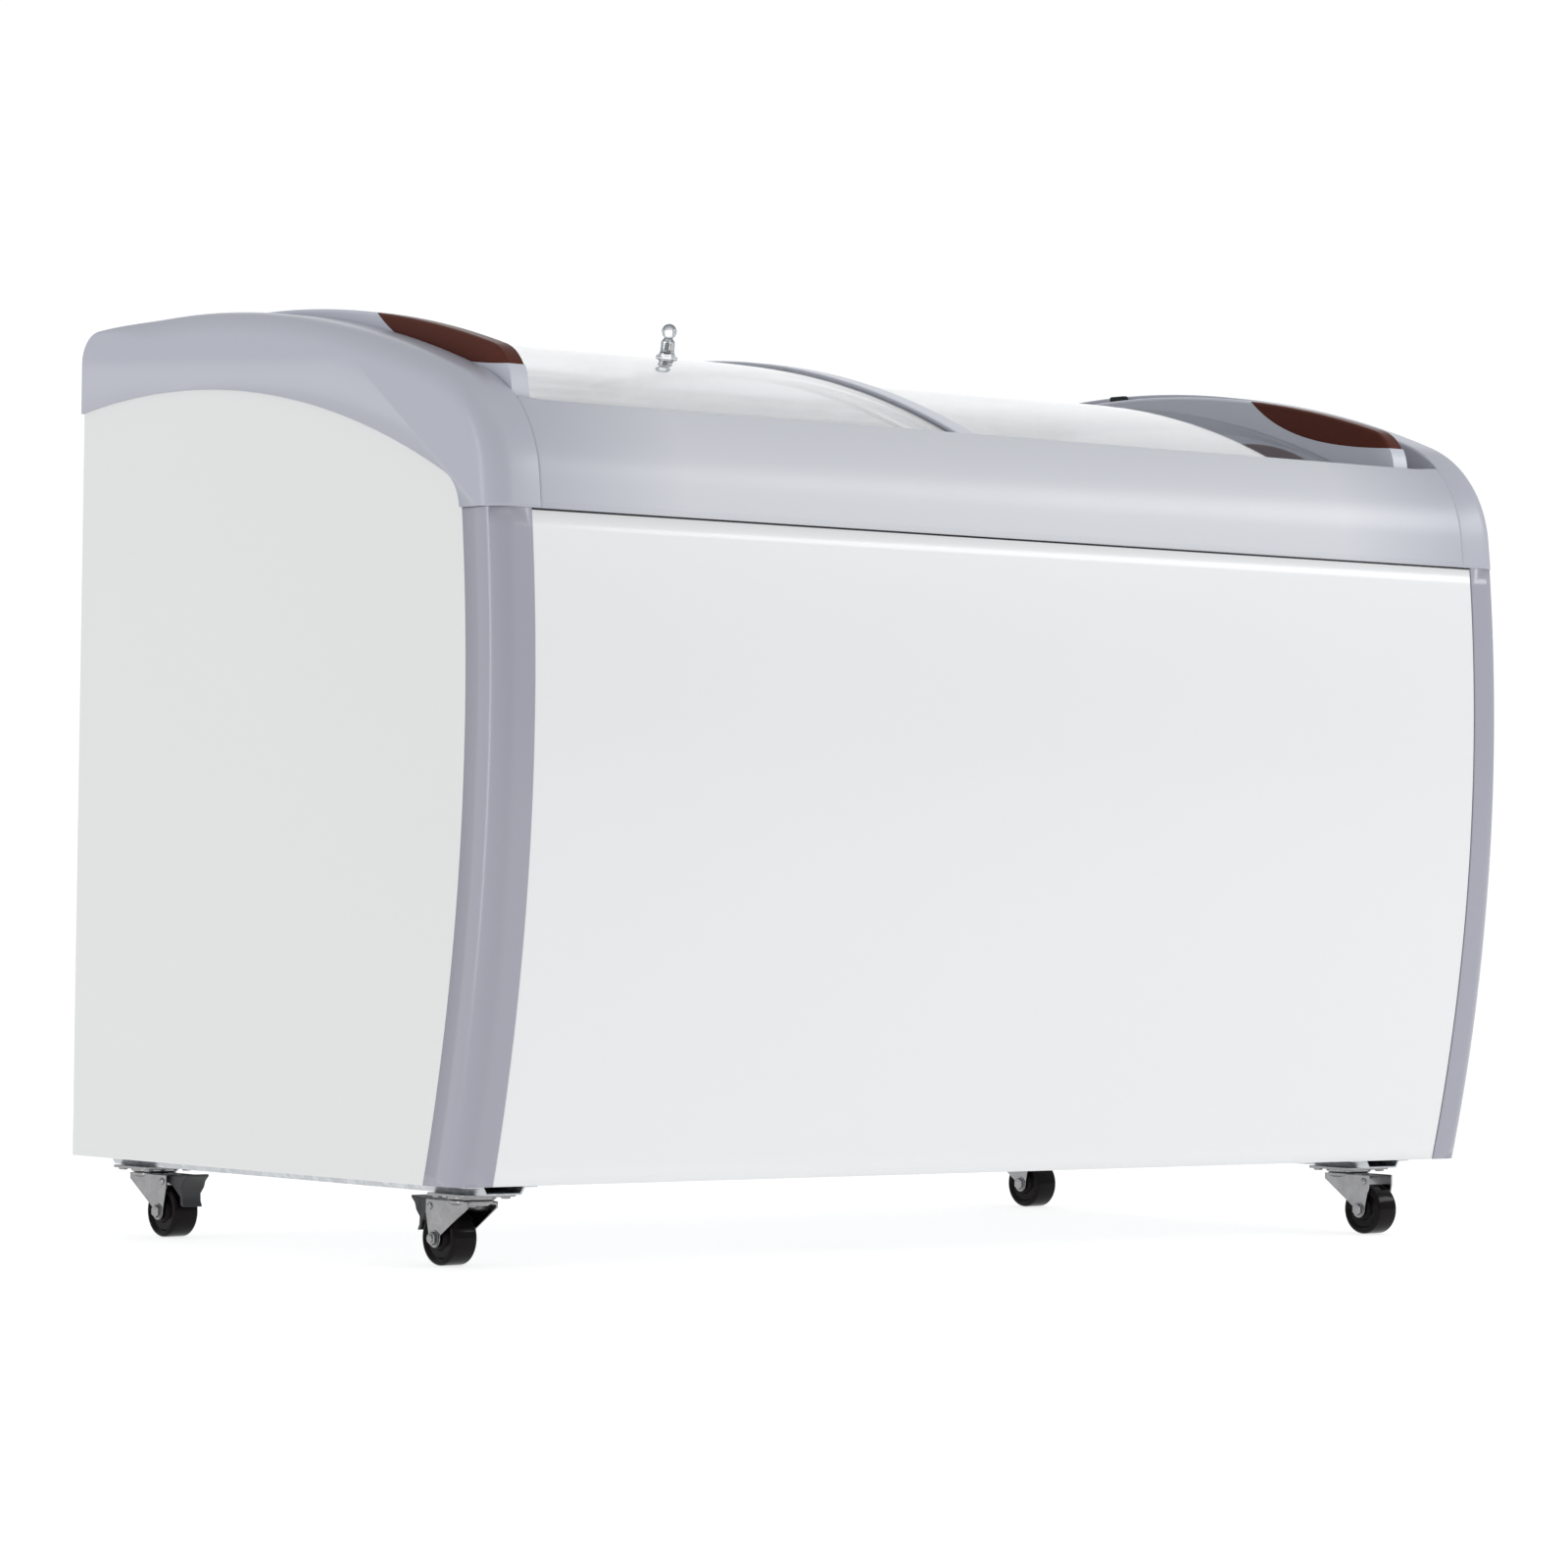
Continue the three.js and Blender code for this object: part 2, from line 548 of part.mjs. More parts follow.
function lidBumper() {
  return block(583, CAP_INNER_FACE - GAP, 170, 194, 872, 882)
}

// ---- machine space ----
const COMPRESSOR = { x: 505, y: 95 }
const MACHINE_PLATE = { x0: 410, x1: 610, y0: 15, y1: 185 }
const CONDENSER = { x: 420, y: 250, bottom: 90, top: 290, fins: 9, pitch: 20, sheet: 3 }
const PLATE_TOP = BODY_BOTTOM + SHEET + GAP + 4

function compressorPlate() {
  const { x0, x1, y0, y1 } = MACHINE_PLATE
  return block(x0, x1, y0, y1, BODY_BOTTOM + SHEET + GAP, PLATE_TOP)
}

function compressor() {
  const profile = [
    [0, 0], [58, 0], [64, 14], [66, 60], [69, 62], [69, 67], [66, 70],
    [64, 112], [54, 140], [34, 156], [0, 162],
  ]
  const shell = turned(profile, 18)
  const terminals = block(52, 82, -22, 22, 50, 100)
  return join(shell, terminals).translate(COMPRESSOR.x, COMPRESSOR.y, PLATE_TOP + GAP)
}

/** Finned condenser: a spine with plates standing out on both sides. */
function condenser() {
  const { fins, pitch, sheet } = CONDENSER
  const spine = 2 * sheet
  const outline = new THREE.Shape()
  outline.moveTo(0, 0)
  for (let i = 0; i < fins; i += 1) {
    const x = i * pitch
    outline.lineTo(x, -3 * spine)
    outline.lineTo(x + sheet, -3 * spine)
    outline.lineTo(x + sheet, 0)
    if (i < fins - 1) outline.lineTo(x + pitch, 0)
  }
  outline.lineTo((fins - 1) * pitch + sheet, spine)
  for (let i = fins - 1; i >= 0; i -= 1) {
    const x = i * pitch
    outline.lineTo(x + sheet, 4 * spine)
    outline.lineTo(x, 4 * spine)
    outline.lineTo(x, spine)
    if (i > 0) outline.lineTo(x - pitch + sheet, spine)
  }
  return upright(outline, CONDENSER.bottom, CONDENSER.top).translate(CONDENSER.x, CONDENSER.y, 0)
}

const FAN = { x: 505, z: 190, radius: 70, half: 84, front: 200, rear: 226 }
const FAN_MOTOR = { front: 217.5, radius: 18 }

function fanShroud() {
  const plate = new THREE.Shape()
  plate.moveTo(FAN.x - FAN.half, FAN.z - FAN.half)
  plate.lineTo(FAN.x + FAN.half, FAN.z - FAN.half)
  plate.lineTo(FAN.x + FAN.half, FAN.z + FAN.half)
  plate.lineTo(FAN.x - FAN.half, FAN.z + FAN.half)
  const opening = new THREE.Path()
  opening.absarc(FAN.x, FAN.z, FAN.radius + 5, 0, 2 * Math.PI, false)
  plate.holes.push(opening)
  const armReach = FAN.half - 4
  const arm = block(FAN.x - armReach, FAN.x + armReach, FAN.rear - 6, FAN.rear, FAN.z - 5, FAN.z + 5)
  const motor = rodY(FAN_MOTOR.radius, FAN.x, FAN.z, FAN_MOTOR.front, FAN.rear, 16)
  return join(alongY(plate, FAN.front, FAN.rear), arm, motor)
}

function fanBlades() {
  const hub = rodY(FAN_MOTOR.radius - 1, FAN.x, FAN.z, FAN.front + 3, FAN_MOTOR.front - 2, 16)
  const middle = FAN.front + 9
  const blades = []
  const count = 5
  for (let i = 0; i < count; i += 1) {
    const blade = new THREE.BoxGeometry(56, 2, 30)
    blade.rotateX(0.5).translate(40, 0, 0).rotateY((i * 2 * Math.PI) / count).translate(FAN.x, middle, FAN.z)
    blades.push(blade)
  }
  return join(hub, ...blades)
}

function filterDrier() {
  const profile = [[0, 0], [3, 0], [3, 10], [9, 18], [9, 84], [3, 92], [3, 102], [0, 102]]
  return turned(profile, 12).rotateY(Math.PI / 2).translate(430, -20, 130)
}

/** A copper pipe along a smooth curve through the given points. */
function pipe(points, radius, steps) {
  const path = new THREE.CatmullRomCurve3(points.map(([x, y, z]) => new THREE.Vector3(x, y, z)))
  const section = new THREE.Shape()
  section.absarc(0, 0, radius, 0, 2 * Math.PI, false)
  const options = { steps, bevelEnabled: false, curveSegments: 3, extrudePath: path }
  return new THREE.ExtrudeGeometry(section, options)
}

function dischargePipe() {
  return pipe([[430, 60, 200], [418, 40, 260], [412, 140, 300], [412, 225, 250], [412, 262, 200]], 3, 24)
}

function ventGrille() {
  const outline = new THREE.Shape()
  outline.moveTo(VENT.x0 - VENT.frame, VENT.z0 - VENT.frame)
  outline.lineTo(VENT.x1 + VENT.frame, VENT.z0 - VENT.frame)
  outline.lineTo(VENT.x1 + VENT.frame, VENT.z1 + VENT.frame)
  outline.lineTo(VENT.x0 - VENT.frame, VENT.z1 + VENT.frame)
  const slotCount = 9
  for (let i = 0; i < slotCount; i += 1) {
    const z = VENT.z0 + 42 + i * 17
    const slot = new THREE.Path()
    slot.moveTo(VENT.x0 + 12, z)
    slot.lineTo(VENT.x1 - 12, z)
    slot.lineTo(VENT.x1 - 12, z + 8)
    slot.lineTo(VENT.x0 + 12, z + 8)
    outline.holes.push(slot)
  }
  const pocket = new THREE.Path()
  pocket.moveTo(CONTROL.x - CONTROL.half, CONTROL.z - CONTROL.half)
  pocket.lineTo(CONTROL.x + CONTROL.half, CONTROL.z - CONTROL.half)
  pocket.lineTo(CONTROL.x + CONTROL.half, CONTROL.z + CONTROL.half)
  pocket.lineTo(CONTROL.x - CONTROL.half, CONTROL.z + CONTROL.half)
  outline.holes.push(pocket)
  const bore = new THREE.Path()
  bore.absarc(GLAND.x, GLAND.z, GLAND.radius + 1, 0, 2 * Math.PI, false)
  outline.holes.push(bore)
  return alongY(outline, PANEL_REAR + GAP, REAR_FACE)
}

/** Thermostat housing: a pocket open to the rear, with the works behind it. */
function thermostatHousing() {
  const { x, z, half } = CONTROL
  const outer = half - GAP
  const inner = half - 3
  const body = block(x - outer, x + outer, CONTROL.front, REAR_FACE, z - outer, z + outer)
  return cut(body, block(x - inner, x + inner, CONTROL.floor, REAR_FACE + 20, z - inner, z + inner))
}

function thermostatDial() {
  const profile = [[0, 0], [17, 0], [17, 2.4], [14, 4.4], [13, 14.4], [11.5, 15.9], [0, 15.9]]
  const dial = new THREE.LatheGeometry(profile.map(([r, h]) => new THREE.Vector2(r, h)), 24)
  const pointer = block(-1.5, 1.5, 14.4, 17, 0, 12)
  return join(dial, pointer).translate(CONTROL.x, CONTROL.floor + 2 * GAP, CONTROL.z)
}

function cordGland() {
  const profile = [
    [GLAND.bore, GLAND.front], [GLAND.radius, GLAND.front], [GLAND.radius, REAR_FACE + GAP],
    [GLAND.flange, REAR_FACE + GAP], [GLAND.flange, GLAND.rear], [GLAND.bore, GLAND.rear],
    [GLAND.bore, GLAND.front],
  ]
  const ring = new THREE.LatheGeometry(profile.map(([r, h]) => new THREE.Vector2(r, h)), 20)
  return ring.translate(GLAND.x, 0, GLAND.z)
}

// ---- lids ----
function frameOutline(lid) {
  const top = { ...FRAME_TOP_ARC, z: FRAME_TOP_ARC.z - lid.drop }
  const nose = innerRound(FRAME_NOSE_ARC, top, FRAME_NOSE_ROUND)
  const overGlass = { ...LID_CENTRE, radius: lid.glass + 1.5 }
  const underGlass = { ...LID_CENTRE, radius: lid.glass - GLASS - 3.7 }
  const flush = crossing(top, top.radius, overGlass, overGlass.radius, -1)
  const start = point(frontOn(FRAME_NOSE_ARC, FRAME_NOSE_BOTTOM), FRAME_NOSE_BOTTOM)
  const outline = new THREE.Shape()
  arcTo(outline, FRAME_NOSE_ARC, start, outTo(FRAME_NOSE_ARC, nose), true)
  arcTo(outline, nose, outTo(FRAME_NOSE_ARC, nose), outTo(top, nose), true)
  arcTo(outline, top, outTo(top, nose), flush, true)
  arcTo(outline, LID_CENTRE, flush, point(FRAME_REAR, heightOn(overGlass, FRAME_REAR)), true)
  const rearFoot = point(FRAME_REAR, heightOn(underGlass, FRAME_REAR))
  arcTo(outline, LID_CENTRE, rearFoot, point(FRAME_FRONT, heightOn(underGlass, FRAME_FRONT)), false)
  outline.lineTo(FRAME_FRONT, FRAME_NOSE_BOTTOM)
  return outline
}

/** The zone in front of and above the line where the brown grip meets the frame. */
function gripZone(lid, shift, x0, x1) {
  const drop = lid.drop - shift
  const outline = new THREE.Shape()
  outline.moveTo(-78, 871.5 - drop)
  outline.bezierCurveTo(-112, 840 - drop, -165, 815 - drop, -300, 811 - drop)
  outline.lineTo(-300, 940)
  outline.lineTo(-78, 940)
  return alongX(outline, x0, x1, LID_STEPS)
}

function frameSpan(lid) {
  const inward = Math.sign(lid.inner - lid.outer)
  const inner = lid.outer + inward * FRAME_WIDTH
  return { x0: Math.min(lid.outer, inner), x1: Math.max(lid.outer, inner), inner, inward }
}

function sideFrame(lid) {
  const { x0, x1, inner, inward } = frameSpan(lid)
  const whole = alongX(frameOutline(lid), x0, x1, 5)
  const slotEnds = [inner - inward * SLOT_DEPTH, inner + inward]
  const slot = lidBand(lid.glass - GLASS - GAP, lid.glass + GAP, FRAME_FRONT - 30, FRAME_REAR + 5,
    Math.min(...slotEnds), Math.max(...slotEnds), LID_STEPS)
  return cut(whole, gripZone(lid, -GAP, x0 - 1, x1 + 1), slot)
}

function grip(lid) {
  const { x0, x1 } = frameSpan(lid)
  return common(alongX(frameOutline(lid), x0, x1, 5), gripZone(lid, 0, x0 - 1, x1 + 1))
}

function lidGlass(lid) {
  const { inner, inward } = frameSpan(lid)
  const outerEdge = inner - inward * (SLOT_DEPTH - GAP)
  const innerEdge = lid === LEFT_LID ? lid.inner - inward * (8 + GAP) : lid.inner
  return lidBand(lid.glass - GLASS, lid.glass, -GLASS_HALF_DEPTH, GLASS_HALF_DEPTH,
    Math.min(outerEdge, innerEdge), Math.max(outerEdge, innerEdge), LID_STEPS)
}

function edgeTrim(lid) {
  const front = FRAME_FRONT - 4
  const rear = FRAME_REAR + 4
  const start = lid.inner - EDGE_TRIM_WIDTH
  const strip = lidBand(lid.glass - GLASS - 1.4, lid.glass + 3, front, rear, start, lid.inner, LID_STEPS)
  const slot = lidBand(lid.glass - GLASS - GAP, lid.glass + GAP, front - 2, rear + 2,
    start - 1, lid.inner - 8, LID_STEPS)
  return cut(strip, slot)
}

function sealStrip(lid) {
  return lidBand(LOWER_GLASS + 0.6, lid.glass - GLASS - 1.7, FRAME_FRONT, FRAME_REAR,
    lid.inner - EDGE_TRIM_WIDTH, lid.inner - EDGE_TRIM_WIDTH + 6, LID_STEPS)
}

const KNOB = { x: -155, y: 40 }

function lidKnob() {
  const profile = [
    [0, 0], [11, 0], [11, 1.5], [8, 4], [7, 6], [7, 17], [4.5, 19.5], [4.8, 21],
    [7, 23], [7.6, 26.5], [7, 30], [4.5, 33], [0, 34],
  ]
  const tilt = Math.asin((LID_CENTRE.y - KNOB.y) / UPPER_GLASS)
  const height = heightOn({ ...LID_CENTRE, radius: UPPER_GLASS + GAP }, KNOB.y)
  return turned(profile, 12).rotateX(tilt).translate(KNOB.x, KNOB.y, height)
}

function buildLid(side, lid) {
  add(`${side}_lid_glass`, lidGlass(lid), CLEAR_GLASS)
  add(`${side}_lid_frame`, sideFrame(lid), GREY_PLASTIC)
  add(`${side}_lid_grip`, grip(lid), BROWN_PLASTIC)
}

// ---- casters ----
// Each caster is drawn with its swivel axis at x = y = 0 and its wheel trailing along +Y.
function casterPlate() {
  const bottom = CASTER_TOP - 2.5
  return join(
    upright(roundedBox(-30, 30, -30, 30, 5), bottom, CASTER_TOP),
    rodZ(23, 0, 0, bottom - 3, bottom + 1, 14),
  )
}

function casterFork() {
  const top = CASTER_TOP - 2.5 - 3 - GAP
  const webBottom = top - 5
  const leg = new THREE.Shape()
  const bossRadius = 8
  leg.moveTo(-16, top - 2)
  leg.lineTo(-16, top - 8)
  leg.lineTo(TRAIL - bossRadius + 1, WHEEL_RADIUS - 2)
  leg.absarc(TRAIL, WHEEL_RADIUS, bossRadius, 1.1 * Math.PI, 2 * Math.PI, false)
  leg.lineTo(TRAIL + 14, top - 12)
  leg.lineTo(TRAIL + 14, top - 2)
  const axleHole = new THREE.Path()
  axleHole.absarc(TRAIL, WHEEL_RADIUS, 4 + GAP, 0, 2 * Math.PI, false)
  leg.holes.push(axleHole)
  const outer = FORK_INNER + FORK_SHEET
  return join(
    rodZ(21, 0, 0, webBottom, top, 14),
    block(-outer, outer, -16, 22, top - 4.5, top - 2),
    alongX(leg, -outer, -FORK_INNER, 4),
    alongX(leg, FORK_INNER, outer, 4),
  )
}

function casterWheel() {
  const half = WHEEL_WIDTH / 2
  const tread = WHEEL_RADIUS / Math.cos(Math.PI / WHEEL_SIDES)
  const profile = [
    [4.3, -half], [9, -half], [11, -half + 3], [19, -half + 3], [22, -half],
    [tread, -half + 5], [tread, half - 5],
    [22, half], [19, half - 3], [11, half - 3], [9, half], [4.3, half], [4.3, -half],
  ]
  const wheel = turned(profile, WHEEL_SIDES).rotateY(Math.PI / 2).rotateX(Math.PI / WHEEL_SIDES)
  return wheel.translate(0, TRAIL, WHEEL_RADIUS)
}

function casterAxle() {
  const outer = FORK_INNER + FORK_SHEET + GAP
  return join(
    rodX(4, TRAIL, WHEEL_RADIUS, -outer - 6, outer + 4, 12),
    rodX(6.5, TRAIL, WHEEL_RADIUS, -outer - 4.5, -outer, 6),
    rodX(6.5, TRAIL, WHEEL_RADIUS, outer, outer + 4, 6),
  )
}

const PEDAL_PIVOT = { y: TRAIL + 9, z: 56 }

function brakePedal() {
  const outline = new THREE.Shape()
  outline.moveTo(27, 54.2)
  outline.lineTo(38, 53.5)
  outline.lineTo(50, 50)
  outline.lineTo(60, 39)
  outline.lineTo(61, 30.5)
  outline.lineTo(68, 30)
  outline.lineTo(64, 36)
  outline.lineTo(64, 42)
  outline.quadraticCurveTo(66, 53, 75, 60)
  outline.lineTo(75, 62.5)
  outline.lineTo(27, 59.5)
  return join(
    alongX(outline, -13, 13, 3),
    rodX(2.5, PEDAL_PIVOT.y, PEDAL_PIVOT.z, GAP + 0.2 - FORK_INNER, FORK_INNER - GAP - 0.2, 10),
  )
}

function buildCaster({ name, x, y, trails, brake }) {
  const caster = new THREE.Group()
  caster.position.set(x, y, 0)
  caster.rotation.z = trails > 0 ? 0 : Math.PI
  freezer.add(caster)
  add(`${name}_caster_plate`, casterPlate(), ZINC, caster)
  add(`${name}_caster_fork`, casterFork(), ZINC, caster)
  add(`${name}_caster_wheel`, casterWheel(), BLACK_RUBBER, caster)
  add(`${name}_caster_axle`, casterAxle(), ZINC, caster)
  if (brake) add(`${name}_brake_pedal`, brakePedal(), BLACK_PLASTIC, caster)
}

// ---- build ----
add('front_panel', frontPanel(), FRONT_STEEL)
add('right_side_panel', sidePanel(), WHITE_STEEL)
add('left_side_panel', mirrorX(sidePanel()), WHITE_STEEL)
add('rear_panel', rearPanel(), WHITE_STEEL)
add('base_pan', basePan(), ZINC)
add('insulation_foam', foam(), FOAM)
add('inner_liner', innerLiner(), LINER_WHITE)
add('right_corner_post', cornerPost(), GREY_PLASTIC)
add('left_corner_post', mirrorX(cornerPost()), GREY_PLASTIC)
add('right_end_cap', endCap(), GREY_PLASTIC)
add('left_end_cap', mirrorX(endCap()), GREY_PLASTIC)
add('front_rail', frontRail(), SILVER_RAIL)
add('rear_rail', rearRail(), SILVER_RAIL)
add('front_lid_track', lidTrack(-289.6, -268, -272), ALUMINIUM)
add('rear_lid_track', lidTrack(289.6, 266, 270), ALUMINIUM)
add('lid_bumper', lidBumper(), BLACK_RUBBER)
for (const spec of BASKETS) add(spec.name, basket(spec), WIRE_WHITE)
add('drain_plug', drainPlug(), BLACK_PLASTIC)
for (const channel of CHANNELS) add(channel.name, baseChannel(channel.x), ZINC)
add('vent_grille', ventGrille(), BLACK_PLASTIC)
add('compressor_plate', compressorPlate(), ZINC)
add('compressor', compressor(), BLACK_STEEL)
add('condenser', condenser(), ALUMINIUM)
add('fan_shroud', fanShroud(), BLACK_STEEL)
add('fan_blades', fanBlades(), BLACK_PLASTIC)
add('filter_drier', filterDrier(), COPPER)
add('discharge_pipe', dischargePipe(), COPPER)
add('thermostat_housing', thermostatHousing(), BLACK_PLASTIC)
add('thermostat_dial', thermostatDial(), BLACK_PLASTIC)
add('cord_gland', cordGland(), BLACK_PLASTIC)
buildLid('left', LEFT_LID)
buildLid('right', RIGHT_LID)
add('left_lid_edge_trim', edgeTrim(LEFT_LID), GREY_PLASTIC)
add('left_lid_seal', sealStrip(LEFT_LID), BLACK_RUBBER)
add('lid_knob', lidKnob(), CLEAR_PLASTIC)
for (const caster of CASTERS) buildCaster(caster)

export default freezer
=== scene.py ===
# %% [markdown]
# # A chest freezer with two sliding glass lids
#
# The freezer is a white steel cabinet with a bowed front. Moulded grey posts and end caps frame it, a rail of the
# same plastic, painted lighter as painted light, runs along the front, and two curved panes slide left and right,
# one over the other. It stands on four casters.
#
# The imported CAD model is the fixed frame: it says where everything is and what moves. This script gives each
# part its finished surface. Every shape is drawn in millimetres, as on a workshop drawing, and is scaled to
# metres only when its mesh is made.

# %% Load the frame
from math import asin, atan2, cos, hypot, pi, radians, sin, sqrt

import bmesh
import bpy
from mathutils import Matrix, Vector


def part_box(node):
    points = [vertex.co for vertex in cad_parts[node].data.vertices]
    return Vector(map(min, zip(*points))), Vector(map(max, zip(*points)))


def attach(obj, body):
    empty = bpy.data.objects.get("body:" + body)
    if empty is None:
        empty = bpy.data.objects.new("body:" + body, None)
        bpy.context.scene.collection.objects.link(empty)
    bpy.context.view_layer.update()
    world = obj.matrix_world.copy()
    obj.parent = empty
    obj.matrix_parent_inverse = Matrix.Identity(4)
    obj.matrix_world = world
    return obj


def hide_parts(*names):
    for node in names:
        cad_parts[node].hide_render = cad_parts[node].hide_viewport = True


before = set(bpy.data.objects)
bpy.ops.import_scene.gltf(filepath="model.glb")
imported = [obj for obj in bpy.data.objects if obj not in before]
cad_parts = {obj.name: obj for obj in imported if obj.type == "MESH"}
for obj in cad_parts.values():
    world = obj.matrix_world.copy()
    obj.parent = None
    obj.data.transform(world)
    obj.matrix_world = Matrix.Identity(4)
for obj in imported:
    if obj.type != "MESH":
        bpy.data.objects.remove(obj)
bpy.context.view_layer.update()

scene = bpy.context.scene
MM = 0.001

# %% [markdown]
# ## Camera, light and floor
#
# A long lens keeps the cabinet's edges nearly parallel, as in a catalogue picture. The camera stands low, below
# the lids, and looks very slightly up. The light is a white room: a world that is brighter above than below,
# and soft boxes that draw the long highlights along the rounded plastic.

# %% Camera
EYE = Vector((-3.6691, -4.3854, 0.3607))
HEADING = radians(39.687)
TILT = radians(0.873)
ROLL = radians(0.824)


def make_camera():
    forward = Vector((sin(HEADING) * cos(TILT), cos(HEADING) * cos(TILT), sin(TILT)))
    level = Vector((cos(HEADING), -sin(HEADING), 0))
    upright = level.cross(forward)
    right = cos(ROLL) * level + sin(ROLL) * upright
    up = cos(ROLL) * upright - sin(ROLL) * level
    data = bpy.data.cameras.new("camera")
    data.lens = 131.77
    data.sensor_width = 36
    data.clip_end = 60
    camera = bpy.data.objects.new("camera", data)
    camera.matrix_world = Matrix.Translation(EYE) @ Matrix((right, up, -forward)).transposed().to_4x4()
    scene.collection.objects.link(camera)
    scene.camera = camera
    return camera


camera = make_camera()
print("camera stands", round(camera.location.length, 2), "m from the origin")

# %% World and lamps
scene.view_settings.view_transform = "Standard"


def make_world(below, above, seen):
    """A room whose light grows from the floor to the ceiling; straight behind the object it is plain white."""
    world = bpy.data.worlds.new("studio")
    scene.world = world
    world.use_nodes = True
    tree = world.node_tree
    background = tree.nodes["Background"]
    direction = tree.nodes.new("ShaderNodeTexCoord")
    split = tree.nodes.new("ShaderNodeSeparateXYZ")
    ramp = tree.nodes.new("ShaderNodeMapRange")
    ramp.inputs["From Min"].default_value = -0.3
    ramp.inputs["From Max"].default_value = 0.9
    ramp.inputs["To Min"].default_value = below
    ramp.inputs["To Max"].default_value = above
    path = tree.nodes.new("ShaderNodeLightPath")
    choose = tree.nodes.new("ShaderNodeMix")
    choose.inputs["B"].default_value = seen
    tree.links.new(direction.outputs["Generated"], split.inputs["Vector"])
    tree.links.new(split.outputs["Z"], ramp.inputs["Value"])
    tree.links.new(ramp.outputs["Result"], choose.inputs["A"])
    tree.links.new(path.outputs["Is Camera Ray"], choose.inputs["Factor"])
    tree.links.new(choose.outputs["Result"], background.inputs["Strength"])
    background.inputs["Color"].default_value = (0.97, 0.985, 1, 1)


def soft_box(name, at, aim, width, height, watts):
    data = bpy.data.lights.new(name, "AREA")
    data.shape = "RECTANGLE"
    data.size = width
    data.size_y = height
    data.energy = watts
    lamp = bpy.data.objects.new(name, data)
    lamp.location = at
    lamp.rotation_euler = (Vector(aim) - Vector(at)).to_track_quat("-Z", "Y").to_euler()
    lamp.visible_camera = False
    scene.collection.objects.link(lamp)


make_world(below=0.46, above=0.62, seen=1.06)
soft_box("side_box", (-3.6, 0.7, 1.0), (-0.64, -0.2, 0.6), 0.36, 2.0, 16)
soft_box("rail_box", (2.9, -2.6, 2.15), (0, -0.3, 0.75), 2.4, 0.9, 34)
soft_box("ceiling_box", (-0.3, -1.0, 3.2), (0, -0.2, 0.8), 2.4, 1.2, 6)
soft_box("rear_box", (2.7, 3.1, 2.2), (0, 0, 0.85), 3.2, 3.2, 20)

# %% [markdown]
# ## Materials
#
# Each finish starts from the Principled shader. Its constants sit on its own sockets, and the detail of the real
# surface comes from noise in Object coordinates: orange peel in the baked enamel, the grain of a mould in the
# plastics, fine copper flecks in the grips, spangle on the galvanised steel. A small helper adds a node and fills
# its inputs, so that each finish reads as a short recipe.


# %% Shader helpers
def node(material, kind, inputs=(), **settings):
    """Adds a shader node; an input is a plain value or another node's output."""
    made = material.node_tree.nodes.new("ShaderNode" + kind)
    for key, value in settings.items():
        setattr(made, key, value)
    for key, value in dict(inputs).items():
        if isinstance(value, bpy.types.NodeSocket):
            material.node_tree.links.new(value, made.inputs[key])
        else:
            made.inputs[key].default_value = value
    return made


def shader(name, colour, roughness, metallic=0.0, **sockets):
    material = bpy.data.materials.new(name)
    material.use_nodes = True
    surface = material.node_tree.nodes["Principled BSDF"]
    surface.inputs["Base Color"].default_value = (*colour, 1)
    surface.inputs["Roughness"].default_value = roughness
    surface.inputs["Metallic"].default_value = metallic
    for key, value in sockets.items():
        surface.inputs[key.replace("_", " ")].default_value = value
    return material


def principled(material):
    return material.node_tree.nodes["Principled BSDF"]


def noise(material, per_metre, detail=3.0, stretch=(1, 1, 1)):
    """Noise with that many features to the metre; stretch squeezes it along an axis."""
    place = node(material, "TexCoord").outputs["Object"]
    spread = node(material, "Mapping", {"Vector": place, "Scale": stretch}).outputs["Vector"]
    made = node(material, "TexNoise", {"Vector": spread, "Scale": per_metre, "Detail": detail})
    return made.outputs["Fac"]


def ramp(material, value, low, high, start=0.3, end=0.7):
    sockets = {"Value": value, "From Min": start, "From Max": end, "To Min": low, "To Max": high}
    return node(material, "MapRange", sockets).outputs["Result"]


def blend(material, factor, first, second):
    made = node(material, "Mix", data_type="RGBA")
    material.node_tree.links.new(factor, made.inputs["Factor"])
    for key, value in (("A", first), ("B", second)):
        socket = [s for s in made.inputs if s.name == key and s.type == "RGBA"][0]
        if isinstance(value, bpy.types.NodeSocket):
            material.node_tree.links.new(value, socket)
        else:
            socket.default_value = (*value, 1)
    return [s for s in made.outputs if s.type == "RGBA"][0]


def feed(material, socket, value):
    material.node_tree.links.new(value, principled(material).inputs[socket])


def roughen(material, per_metre, low, high, stretch=(1, 1, 1)):
    """Lets the gloss vary from place to place."""
    feed(material, "Roughness", ramp(material, noise(material, per_metre, 1.0, stretch), low, high, 0.1, 0.9))


def emboss(material, height, depth, strength=1.0):
    """Turns a pattern into bumps of that depth in metres."""
    bump = node(material, "Bump", {"Height": height, "Distance": depth, "Strength": strength})
    feed(material, "Normal", bump.outputs["Normal"])


# %% Enamelled steel
def enamel(name, colour, roughness, coat):
    material = shader(name, colour, roughness, Coat_Weight=coat, Coat_Roughness=0.12)
    worn = tuple(c * 0.985 for c in colour)
    slow = ramp(material, noise(material, 1.7, 1.0), 0, 1, 0.1, 0.9)
    feed(material, "Base Color", blend(material, slow, colour, worn))
    roughen(material, 9, roughness - 0.02, roughness + 0.03)
    emboss(material, noise(material, 420, 1.0), 0.00003, 0.35)
    return material


# The side and rear sheets carry the same white enamel as the front, painted darker: painted shade for faces that
# get less light.
painted_shade_enamel = enamel("painted_shade_enamel", (0.80, 0.812, 0.805), 0.38, 0.15)
front_enamel = enamel("front_enamel", (0.875, 0.885, 0.89), 0.32, 0.3)


